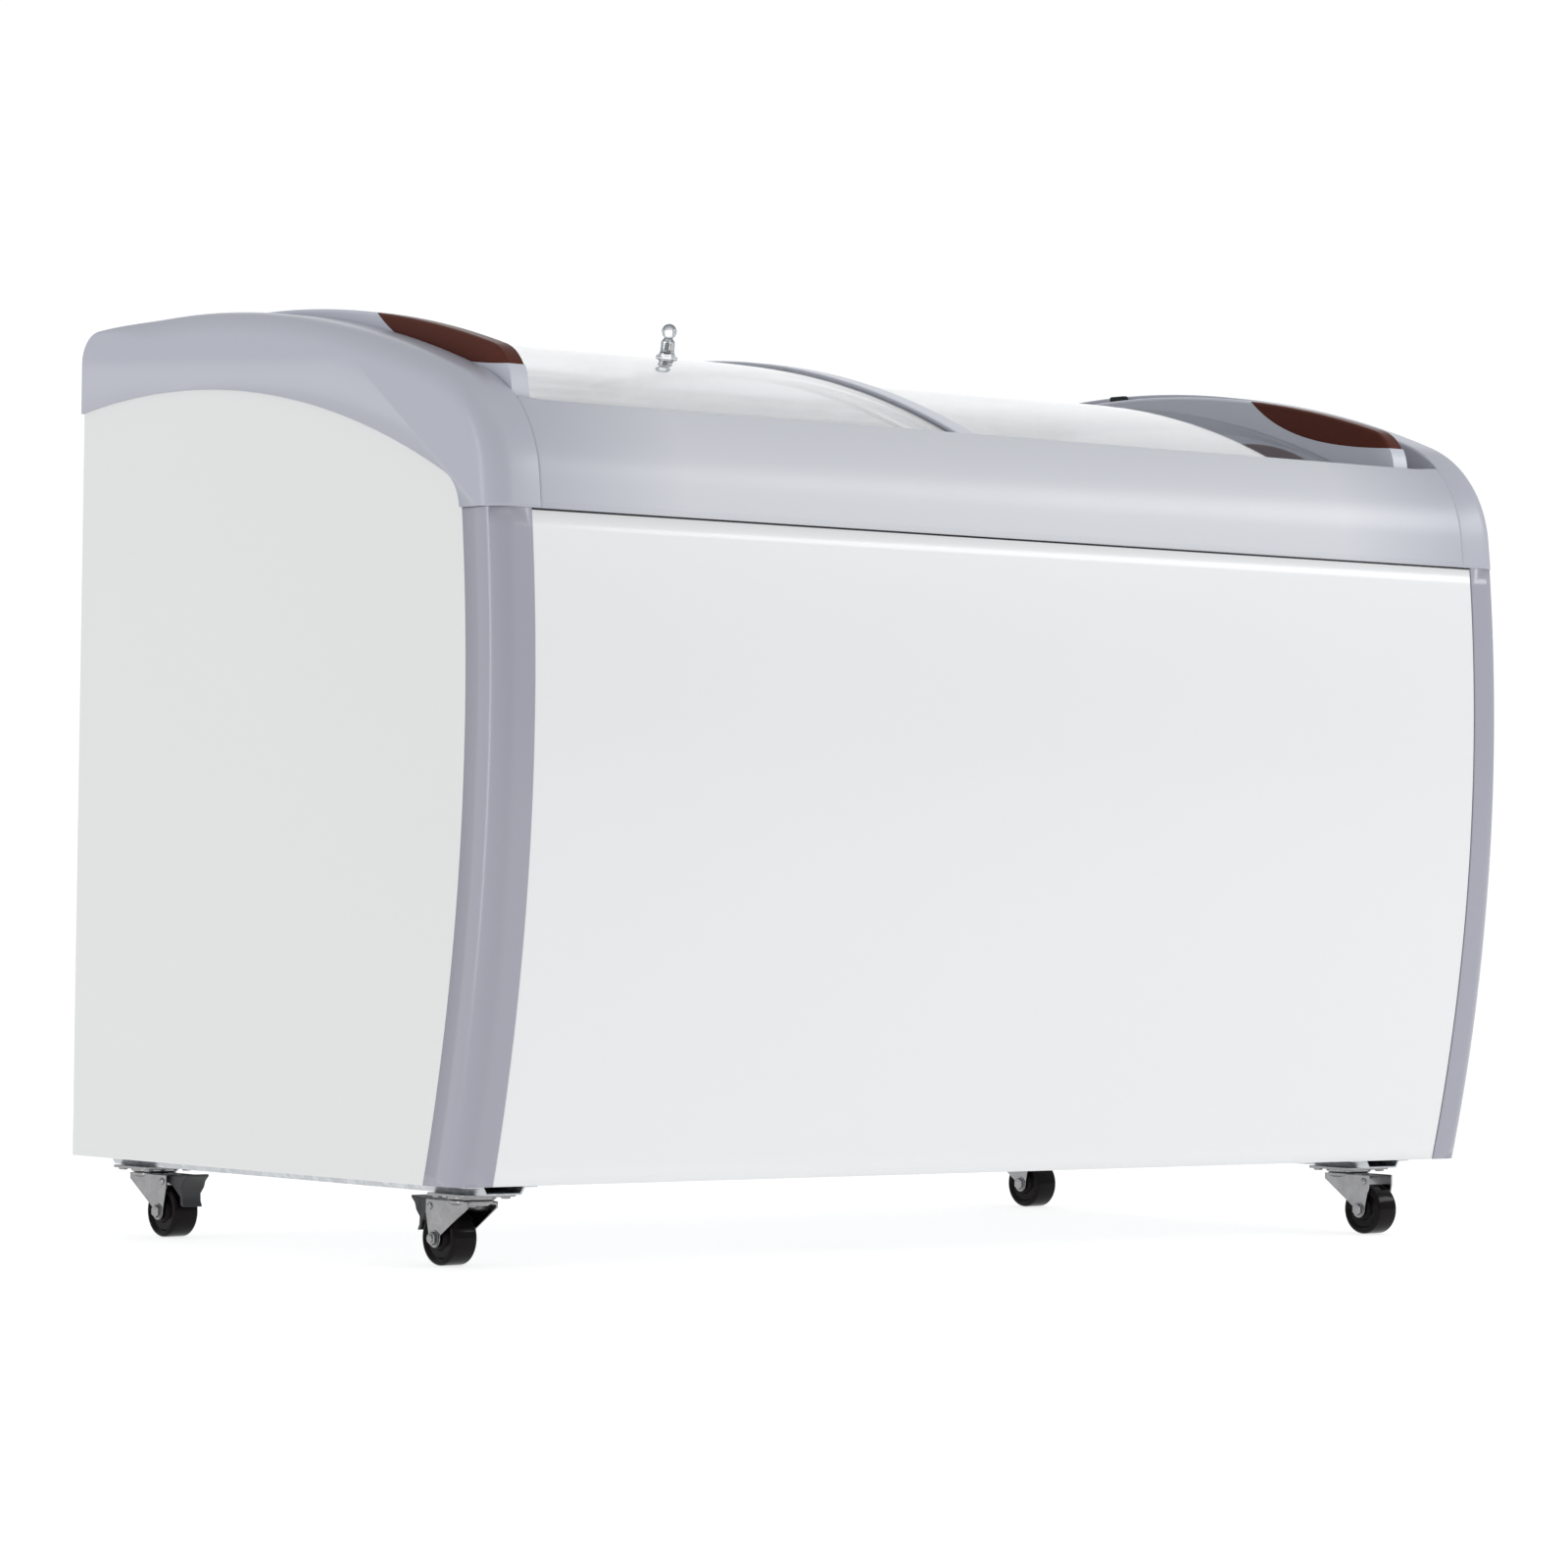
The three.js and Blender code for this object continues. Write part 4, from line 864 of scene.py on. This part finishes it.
def lid_outline(lid):
    drop = lid["drop"]
    nose_arc = FRONT.inset(NOSE_SETBACK)
    top = Arc(95, -357.5 - drop, 1240)
    nose = rolling(nose_arc, top, NOSE_ROUND)
    over = Arc(LIDS.y, LIDS.z, lid["glass"] + 1.5)
    under = Arc(LIDS.y, LIDS.z, lid["glass"] - 7.7)
    curve = parting(drop)
    length = where_it_leaves(curve, nose)
    line = [curve(length * i / 22) for i in range(23)]
    line[0] = top.at_depth(-78)
    return nose_arc, top, nose, over, under, line


# %% Frames and grips
def side_frame(side):
    lid = LIDS_AT[side]
    nose_arc, top, nose, over, under, line = lid_outline(lid)
    flush = crossing(top, over, -1)
    bm = bmesh.new()
    width = FRAME_WIDTH if side == "left" else -FRAME_WIDTH
    chain = draw(
        bm, lid["outer"], nose_arc.at_height(FRAME_FOOT), (nose_arc, nose_arc.towards(nose), 4),
        (nose, line[-1], 4), line[-2::-1], (top, flush, 20),
        (over, over.at_depth(258), 6), under.at_depth(258), (under, under.at_depth(-262), 36), (-262, FRAME_FOOT),
    )
    pull(bm, chain, (width, 0, 0))
    crease(bm, 0.1)
    middle = lid["outer"] + width / 2
    crease(bm, 1.0, lambda at: at.z > top.at_depth(at.y)[1] - 1.5 and at.y > -77 and abs(at.x - middle) > 8)
    made = piece(f"{side}_frame_moulding", bm, f"{side}_lid", frame_grey, [f"{side}_lid_frame"])
    return round_edges(made, 5, 4, by_weight=True)


def grip(side):
    lid = LIDS_AT[side]
    nose_arc, top, nose, over, under, line = lid_outline(lid)
    bm = bmesh.new()
    width = FRAME_WIDTH if side == "left" else -FRAME_WIDTH
    chain = draw(
        bm, lid["outer"], line[-1], (nose, top.towards(nose), 12), (top, line[0], 16), line[1:-1],
    )
    pull(bm, chain, (width, 0, 0))
    crease(bm, 0.1)
    crease(bm, 1.0, lambda at: abs(at.x - lid["outer"] - width / 2) > 8 and (
        at.z > top.at_depth(at.y)[1] - 1.5 or hypot(at.y - nose.y, at.z - nose.z) > 44.5 and at.y < nose.y + 30))
    made = piece(f"{side}_grip_moulding", bm, f"{side}_lid", speckled_brown, [f"{side}_lid_grip"])
    return round_edges(made, 5, 5, by_weight=True)


# %% Panes
def ring_strip(x0, x1, inner, outer, y0, y1, steps=48):
    """A strip about the lids' centre, between two radii and two depths."""
    bm = bmesh.new()
    out, within = Arc(LIDS.y, LIDS.z, outer), Arc(LIDS.y, LIDS.z, inner)
    chain = draw(
        bm, x0, out.at_depth(y0), (out, out.at_depth(y1), steps),
        within.at_depth(y1), (within, within.at_depth(y0), steps),
    )
    pull(bm, chain, (x1 - x0, 0, 0))
    return bm


def pane(side):
    lid = LIDS_AT[side]
    sign = 1 if side == "left" else -1
    outer_edge = lid["outer"] + sign * (FRAME_WIDTH - 5.7)
    inner_edge = lid["inner"] - (8.3 if side == "left" else 0)
    low, high = sorted((outer_edge, inner_edge))
    bm = ring_strip(low, high, lid["glass"] - 4, lid["glass"], -284, 284, 64)
    made = piece(f"{side}_pane", bm, f"{side}_lid", lid_pane, [f"{side}_lid_glass"])
    return round_edges(made, 0.8, 2)


for side in ("left", "right"):
    side_frame(side)
    grip(side)
    pane(side)


# %% Edge trim and seal
def edge_trim():
    bm = ring_strip(-25, 0, 1054.6, 1063, -266, 262)
    made = piece("pane_edge_trim", bm, "left_lid", frame_grey, ["left_lid_edge_trim"])
    round_edges(made, 2, 4)
    bm = ring_strip(-24.6, -19, 1050.6, 1054.5, -262, 258)
    made = piece("pane_seal", bm, "left_lid", soft_rubber, ["left_lid_seal"])
    round_edges(made, 0.8, 2)


edge_trim()


# %% [markdown]
# ## Breaker strips
#
# Between the ends of the liner and the caps the foam would lie bare, so a real freezer bridges it with plastic
# strips that also break the path of the cold. Each is a short arc on the lids' centre, just under the panes.


# %% Strips at both ends
def breaker_strips():
    """The plastic strips that bridge the foam between the liner's ends and the caps."""
    bm = ring_strip(584.4, 589.8, 1026.5, 1030.7, -268, 274)
    for side, shape in (("right", bm), ("left", mirrored(bm))):
        made = piece(f"{side}_breaker_strip", shape, "cabinet", frame_grey)
        round_edges(made, 0.8, 2)


breaker_strips()

# %% [markdown]
# ## Knob and bumper
#
# The clear knob is a turned shape: a foot, a stem, a waist and a ball. A lathe profile spun about Z makes it, then
# it is tilted square to the pane. A bright pin inside it shows through the plastic.


# %% Clear knob
def knob():
    tilt = asin((LIDS.y - 40) / 1060)
    foot = Arc(LIDS.y, LIDS.z, 1060.3).at_depth(40)
    ball = [(7.6 * cos(a), 26.2 + 7.6 * sin(a)) for a in [i * pi / 16 for i in range(-5, 9)]]
    profile = [
        (0, 0), (11, 0), (11, 1.4), (8.6, 3.2), (7.2, 5.4), (7, 8), (7, 16), (5, 18.6), (4.4, 19.2),
        *ball[:-1], (0, 33.8),
    ]
    shapes = (
        ("clear_knob", profile, clear_acrylic, "clear_plastic", ["lid_knob"]),
        ("knob_pin", [(0, 2), (2.1, 2), (2.1, 14), (1.2, 15.5), (0, 16)], bright_zinc, "zinc", []),
    )
    for name, outline, material, slot, stands_for in shapes:
        bm = bmesh.new()
        lathe(bm, outline, "Z", steps=40)
        stand(bm, bm.verts, (-155, *foot), tilt, "X")
        piece(name, bm, "left_lid", material, stands_for)


def bumper():
    bm = bmesh.new()
    low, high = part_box("lid_bumper")
    block(bm, low / MM, high / MM)
    round_edges(piece("rubber_bumper", bm, "cabinet", soft_rubber, ["lid_bumper"]), 2, 3)


knob()
bumper()

# %% [markdown]
# ## Casters
#
# A swivel caster is a bolted plate, a ball race, a pressed fork that trails behind the swivel axis, and a wheel on
# an axle bolt. Each piece is drawn about a swivel axis at x = y = 0 with the wheel trailing to the rear, then the
# finished shape is turned and put in its place. The two left casters have a brake pedal.

# %% Caster places
TRAIL = 32
WHEEL = 25
CASTERS = {
    "front_left": (-578, -228, 0, True), "rear_left": (-578, 286, pi, True),
    "front_right": (540, -228, pi, False), "rear_right": (540, 286, pi, False),
}
PLATE_TOP = 67.2
RACE_BOTTOM = PLATE_TOP - 5.5
FORK_TOP = RACE_BOTTOM - JOINT


def place_caster(bm, name):
    x, y, turn, _ = CASTERS[name]
    stand(bm, bm.verts, (x, y, 0), turn, "Z")


# %% Plate, race and bolts
def caster_plate(name):
    bm = bmesh.new()
    block(bm, (-30, -30, PLATE_TOP - 2.5), (30, 30, PLATE_TOP))
    corners = [e for e in bm.edges if abs(e.verts[0].co.z - e.verts[1].co.z) > 1]
    bmesh.ops.bevel(bm, geom=corners, offset=5, segments=5, profile=0.5, affect="EDGES", material=-1)
    race = [
        (0, RACE_BOTTOM + 0.4), (13, RACE_BOTTOM), (21.5, RACE_BOTTOM),
        (23, RACE_BOTTOM + 0.8), (23, 64.8), (0, 64.8),
    ]
    lathe(bm, race, "Z")
    for dx in (-22, 22):
        for dy in (-22, 22):
            lathe(bm, [(0, 62.6), (4.2, 62.6), (5, 63.2), (5, 64.6), (0, 64.6)], "Z", (dx, dy, 0), 6)
    place_caster(bm, name)
    made = piece(f"{name}_bolted_plate", bm, "cabinet", bright_zinc, [f"{name}_caster_plate"])
    return round_edges(made, 0.4, 2)


# %% Fork
def fork_leg(bm, x):
    """One side of the fork: broad at the top, narrowing to a round boss at the axle."""
    axle = Arc(TRAIL, WHEEL, 8.5)
    boss_in = (axle.y - 8.1, axle.z + 2.6)
    boss_out = (axle.y + 8.4, axle.z + 1.5)
    chain = draw(
        bm, x, (-17, FORK_TOP - 1.2), (-17, FORK_TOP - 7), boss_in, (axle, (axle.y, axle.z - 8.5), 6),
        (axle, boss_out, 6), (TRAIL + 13.5, FORK_TOP - 13), (TRAIL + 13.5, FORK_TOP - 1.2),
    )
    pull(bm, chain, (2, 0, 0))


def caster_fork(name):
    bm = bmesh.new()
    crown = [(0, 0), (20, 0), (21, -0.8), (21, -3), (18, -5), (0, -5)]
    lathe(bm, [(radius, FORK_TOP + height) for radius, height in crown], "Z")
    block(bm, (-17.4, -17, FORK_TOP - 4.2), (17.4, TRAIL - 8, FORK_TOP - 1.8))
    fork_leg(bm, -17.5)
    fork_leg(bm, 15.5)
    king_pin = [(0, -7.6), (4.5, -7.2), (5.5, -5.8), (5.5, -4.8), (0, -4.8)]
    lathe(bm, [(radius, FORK_TOP + height) for radius, height in king_pin], "Z", steps=24)
    for side in (-1, 1):
        rivet = [(0, side * 17.3), (3.6, side * 17.3), (3.3, side * 18.4), (2.1, side * 19.3), (0, side * 19.6)]
        lathe(bm, rivet, "X", (0, 39, 54), 24)
    place_caster(bm, name)
    made = piece(f"{name}_pressed_fork", bm, f"{name}_swivel", bright_zinc, [f"{name}_caster_fork"])
    return round_edges(made, 0.6, 2)


# %% Axle bolt
def caster_axle(name):
    bm = bmesh.new()
    face = 17.6
    bolt = [(0, -face - 6), (3.2, -face - 6), (4, -face - 5.2), (4, face + 3), (3.2, face + 4), (0, face + 4)]
    lathe(bm, bolt, "X", (0, TRAIL, WHEEL), 24)
    for side, height in ((-1, 4.4), (1, 3.8)):
        washer = [(0, side * face), (7.6, side * face), (7.6, side * (face + 0.8)), (0, side * (face + 0.8))]
        lathe(bm, washer, "X", (0, TRAIL, WHEEL), 32)
        base, top = face + 0.8, face + height
        nut = [(0, side * base), (6.3, side * base), (6.3, side * (top - 0.9)), (5.4, side * top), (0, side * top)]
        lathe(bm, nut, "X", (0, TRAIL, WHEEL), 6)
    place_caster(bm, name)
    made = piece(f"{name}_axle_bolt", bm, f"{name}_swivel", bright_zinc, [f"{name}_caster_axle"])
    return round_edges(made, 0.25, 2)


# %% Wheel
def caster_wheel(name):
    """A one-piece nylon wheel: rounded tread, dished sides and a raised hub."""
    half = 14
    edge = [(25 - 4 + 4 * sin(a), half - 4 + 4 * cos(a)) for a in [i * pi / 16 for i in range(9)]]
    side = [(4.4, half), (9, half), (10, half - 0.6), (11.4, half - 3), (17.6, half - 3), (19.4, half - 1), *edge]
    profile = side + [(r, -h) for r, h in reversed(side)] + [(4.4, half)]
    bm = bmesh.new()
    lathe(bm, profile, "X", (0, TRAIL, WHEEL), 64)
    place_caster(bm, name)
    return piece(f"{name}_nylon_wheel", bm, f"{name}_wheel", hard_tread, [f"{name}_caster_wheel"])


# %% Brake pedal
def brake_pedal(name):
    """The pedal's top runs back from the fork, dips, and ends in a lip; its tail hooks down to the tread."""
    bm = bmesh.new()
    chain = draw(
        bm, -13, (27.5, 54.6), (38, 53.6), (50, 50.2), (60, 39.5), (61.4, 31), (67.4, 30.4), (64.4, 36), (64.4, 43),
        [(65.6, 49), (69, 55), (74.6, 60)], (74.6, 62.2), (60, 60.4), (27.5, 59.2),
    )
    pull(bm, chain, (26, 0, 0))
    tail = [v for v in bm.verts if v.co.z < 45 and v.co.y > 58]
    bmesh.ops.scale(bm, vec=(0.84, 1, 1), verts=tail)
    lathe(bm, [(0, -15), (2.5, -15), (2.5, 15), (0, 15)], "X", (0, 41, 56), 20)
    place_caster(bm, name)
    body, node_name = f"{name}_pedal", f"{name}_brake_pedal"
    made = piece(f"{name}_pedal_moulding", bm, body, black_moulding, [node_name])
    return round_edges(made, 1.1, 3)


for name, (_, _, _, brake) in CASTERS.items():
    caster_plate(name)
    caster_fork(name)
    caster_axle(name)
    caster_wheel(name)
    if brake:
        brake_pedal(name)
print("casters:", len(CASTERS))

# %% [markdown]
# ## Wire baskets
#
# A basket is bent and welded wire, dipped in white plastic. Wire is a curve with a round bevel: each U runs down
# one wall, across the floor and up the other, and closed rings with round corners tie them together. The rim is
# thicker, with a lifting loop at both ends.


# %% Baskets
def add_wire(curve, points, closed=False):
    spline = curve.splines.new("POLY")
    spline.points.add(len(points) - 1)
    for slot, at in zip(spline.points, points):
        slot.co = (*[c * MM for c in at], 1)
    spline.use_cyclic_u = closed


def wires(name, radius):
    curve = bpy.data.curves.new(name, "CURVE")
    curve.dimensions = "3D"
    curve.bevel_depth = radius * MM
    curve.bevel_resolution = 1
    curve.use_fill_caps = True
    return curve


def rounded_ring(x0, x1, y0, y1, z, radius, steps=5):
    near_x, far_x, near_y, far_y = x0 + radius, x1 - radius, y0 + radius, y1 - radius
    corners = ((far_x, far_y, 0), (near_x, far_y, 1), (near_x, near_y, 2), (far_x, near_y, 3))
    return [
        (cx + radius * cos((q + i / steps) * pi / 2), cy + radius * sin((q + i / steps) * pi / 2), z)
        for cx, cy, q in corners for i in range(steps + 1)
    ]


def u_bend(a0, a1, bottom, top, radius, steps=4):
    """A U in a plane, as (along, height) points."""
    turns = [i * pi / 2 / steps for i in range(steps + 1)]
    left = [(a0 + radius - radius * cos(t), bottom + radius - radius * sin(t)) for t in turns]
    right = [(a1 - radius + radius * sin(t), bottom + radius - radius * cos(t)) for t in turns]
    return [(a0, top), *left, *right, (a1, top)]


def basket(node_name, name):
    low, high = (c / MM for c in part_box(node_name))
    x0, x1, y0, y1 = low.x + 3, high.x - 3, low.y + 3, high.y - 3
    bottom, top = low.z + 2, high.z - 3
    thin, thick = wires(name, 1.6), wires(name + "_rim", 2.8)
    across = round((x1 - x0 - 40) / 36)
    along = round((y1 - y0 - 40) / 36)
    for i in range(across + 1):
        x = x0 + 20 + (x1 - x0 - 40) * i / across
        add_wire(thin, [(x, a, z) for a, z in u_bend(y0, y1, bottom, top, 14)])
    for i in range(along + 1):
        y = y0 + 20 + (y1 - y0 - 40) * i / along
        add_wire(thin, [(a, y, z + 1) for a, z in u_bend(x0, x1, bottom + 2, top, 14)])
    rings = round((top - bottom) / 60)
    for i in range(1, rings):
        add_wire(thin, rounded_ring(x0 - 1, x1 + 1, y0 - 1, y1 + 1, bottom + (top - bottom) * i / rings, 18), True)
    add_wire(thick, rounded_ring(x0, x1, y0, y1, top, 18), True)
    for y in (y0 + 4, y1 - 4):
        middle = (x0 + x1) / 2
        bend = ((-1, 0), (-1, 0.8), (-0.85, 1), (0.85, 1), (1, 0.8), (1, 0))
        add_wire(thick, [(middle + 45 * s, y, top - 34 * r) for s, r in bend])
    for curve, stands_for in ((thin, [node_name]), (thick, [])):
        made = bpy.data.objects.new(curve.name, curve)
        scene.collection.objects.link(made)
        curve.materials.append(wire_coating)
        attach(made, "cabinet")
        if stands_for:
            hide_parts(*stands_for)


basket("floor_basket", "floor_wire_basket")
basket("step_basket", "step_wire_basket")

# %% [markdown]
# ## Rear: grille, controls and screws
#
# The machine breathes through a black grille. Its slots are cut in the CAD plate, and a real one has blades
# behind the slots that slope down and keep fingers and dust out. The thermostat dial has a fluted rim, and pan
# head screws hold the rear sheet.


# %% Louvre blades
def louvres():
    bm = bmesh.new()
    for i in range(9):
        made = block(bm, (-88, -6, -0.7), (88, 4, 0.7))
        stand(bm, made, (510, 332, 146 + i * 17), radians(-35), "X")
    round_edges(piece("grille_louvres", bm, "cabinet", black_moulding), 0.4, 2)


louvres()


# %% Dial, gland and drain plug
def dial():
    x, z, floor = 580, 322, 322.6
    bm = bmesh.new()
    profile = [
        (0, 0), (17, 0), (17, 1.6), (16.2, 2.4), (14, 4.2), (13.2, 14.2), (12.4, 15.4), (11, 15.9), (0, 15.9),
    ]
    for vert in lathe(bm, profile, "Z", steps=72):
        reach = hypot(vert.co.x, vert.co.y)
        if 12 < reach < 15 and vert.co.z > 4:
            flute = 1 - 0.045 * (0.5 + 0.5 * cos(18 * atan2(vert.co.y, vert.co.x)))
            vert.co.x *= flute
            vert.co.y *= flute
    stand(bm, bm.verts, (x, floor, z), -pi / 2, "X")
    piece("fluted_dial", bm, "dial", black_moulding, ["thermostat_dial"])
    bm = bmesh.new()
    block(bm, (x - 0.9, floor + 15.5, z + 1), (x + 0.9, floor + 16.6, z + 11))
    round_edges(piece("dial_pointer", bm, "dial", wire_coating), 0.3, 2)


def gland():
    bm = bmesh.new()
    profile = [
        (4.6, 326), (11, 326), (11, 340.3), (14.2, 340.3), (15, 340.6), (15, 340.9), (14.4, 341.3), (6, 341.3),
        (5.2, 340.8), (4.6, 339.5), (4.6, 326),
    ]
    lathe(bm, profile, "Y", (440, 0, 122), 40)
    piece("rubber_gland", bm, "cabinet", soft_rubber, ["cord_gland"])


def drain():
    bm = bmesh.new()
    profile = [(0, 68), (16, 68), (17, 69), (17, 75.7), (11, 75.7), (11, 141), (8, 141), (8, 74), (0, 74)]
    lathe(bm, profile, "Z", (-80, -150, 0), 40)
    for turn in (0, pi / 2):
        rib = block(bm, (-13, -1.2, 68.1), (13, 1.2, 69.5))
        stand(bm, rib, (-80, -150, 0), turn, "Z")
    piece("ribbed_drain_plug", bm, "cabinet", black_moulding, ["drain_plug"])


dial()
gland()
drain()


# %% Screws
def pan_screw(bm, at, radius=3.6):
    """A domed head facing the rear."""
    dome = [(radius * cos(a), 1.4 * sin(a)) for a in [i * pi / 10 for i in range(6)]]
    lathe(bm, [(0, -1), (radius, -1), *dome[:-1], (0, 1.4)], "Y", at, 20)


def screws():
    bm = bmesh.new()
    rear = 337
    for x in (-620, -380, -130, 130, 350):
        for z in (92, 770):
            pan_screw(bm, (x, rear, z))
    for x in (-624, 626):
        for z in (260, 430, 600):
            pan_screw(bm, (x, rear, z))
    piece("panel_screws", bm, "cabinet", bright_zinc)


screws()

# %% [markdown]
# ## Machine space
#
# The compressor is a welded steel pot in two halves. The seam is a small flange, so it is part of the lathe
# profile. It shows through the grille's slots.


# %% Compressor
def compressor():
    x, y, base = 505, 95, 82.6
    bm = bmesh.new()
    profile = [
        (0, 0), (56, 0), (62, 6), (64, 14), (66, 58), (66.4, 61), (69, 61.6), (69, 66.4), (66.4, 67), (66, 70),
        (64, 112), (60, 128), (50, 144), (32, 156), (14, 161), (0, 162),
    ]
    lathe(bm, profile, "Z", (x, y, base), 64)
    round_edges(piece("welded_compressor", bm, "cabinet", black_enamel, ["compressor"]), 1.5, 3)
    bm = bmesh.new()
    block(bm, (x + 58, y - 22, base + 50), (x + 82, y + 22, base + 100))
    round_edges(piece("terminal_box", bm, "cabinet", black_moulding), 4, 4)


compressor()

# %% [markdown]
# ## Finishes of the parts that stay
#
# Some CAD parts already have their real shape: flat sheets, channels, plates, the liner. They only need their
# material. A loop gives each its finish.

# %% Materials of the CAD nodes
KEPT = {
    # The rear sheet takes the darker enamel with its painted shade.
    painted_shade_enamel: ["rear_panel"],
    galvanised_sheet: ["base_pan", "left_base_channel", "right_base_channel", "compressor_plate"],
    yellow_foam: ["insulation_foam"],
    liner_sheet: ["inner_liner"],
    satin_aluminium: ["front_lid_track", "rear_lid_track", "condenser"],
    black_moulding: ["vent_grille", "thermostat_housing", "fan_blades"],
    black_enamel: ["fan_shroud"],
    bare_copper: ["filter_drier", "discharge_pipe"],
}
for material, names in KEPT.items():
    for name in names:
        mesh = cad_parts[name].data
        mesh.materials.clear()
        mesh.materials.append(material)
shown = [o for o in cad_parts.values() if not o.hide_render]
print("CAD nodes still shown:", sorted(o.name for o in shown))

# %% [markdown]
# ## Floor
#
# A plain pale floor, far larger than the view, so that only the soft shadow under the cabinet shows it.


# %% Floor
def make_floor():
    bm = bmesh.new()
    bmesh.ops.create_grid(bm, x_segments=1, y_segments=1, size=20)
    mesh = bpy.data.meshes.new("floor")
    bm.to_mesh(mesh)
    bm.free()
    floor = bpy.data.objects.new("floor", mesh)
    floor.location.z = -0.0005
    scene.collection.objects.link(floor)
    pale = shader("pale_floor", (0.35, 0.35, 0.35), 0.9)
    emit = principled(pale)
    emit.inputs["Emission Color"].default_value = (1, 1, 1, 1)
    emit.inputs["Emission Strength"].default_value = 0.78
    mesh.materials.append(pale)


make_floor()
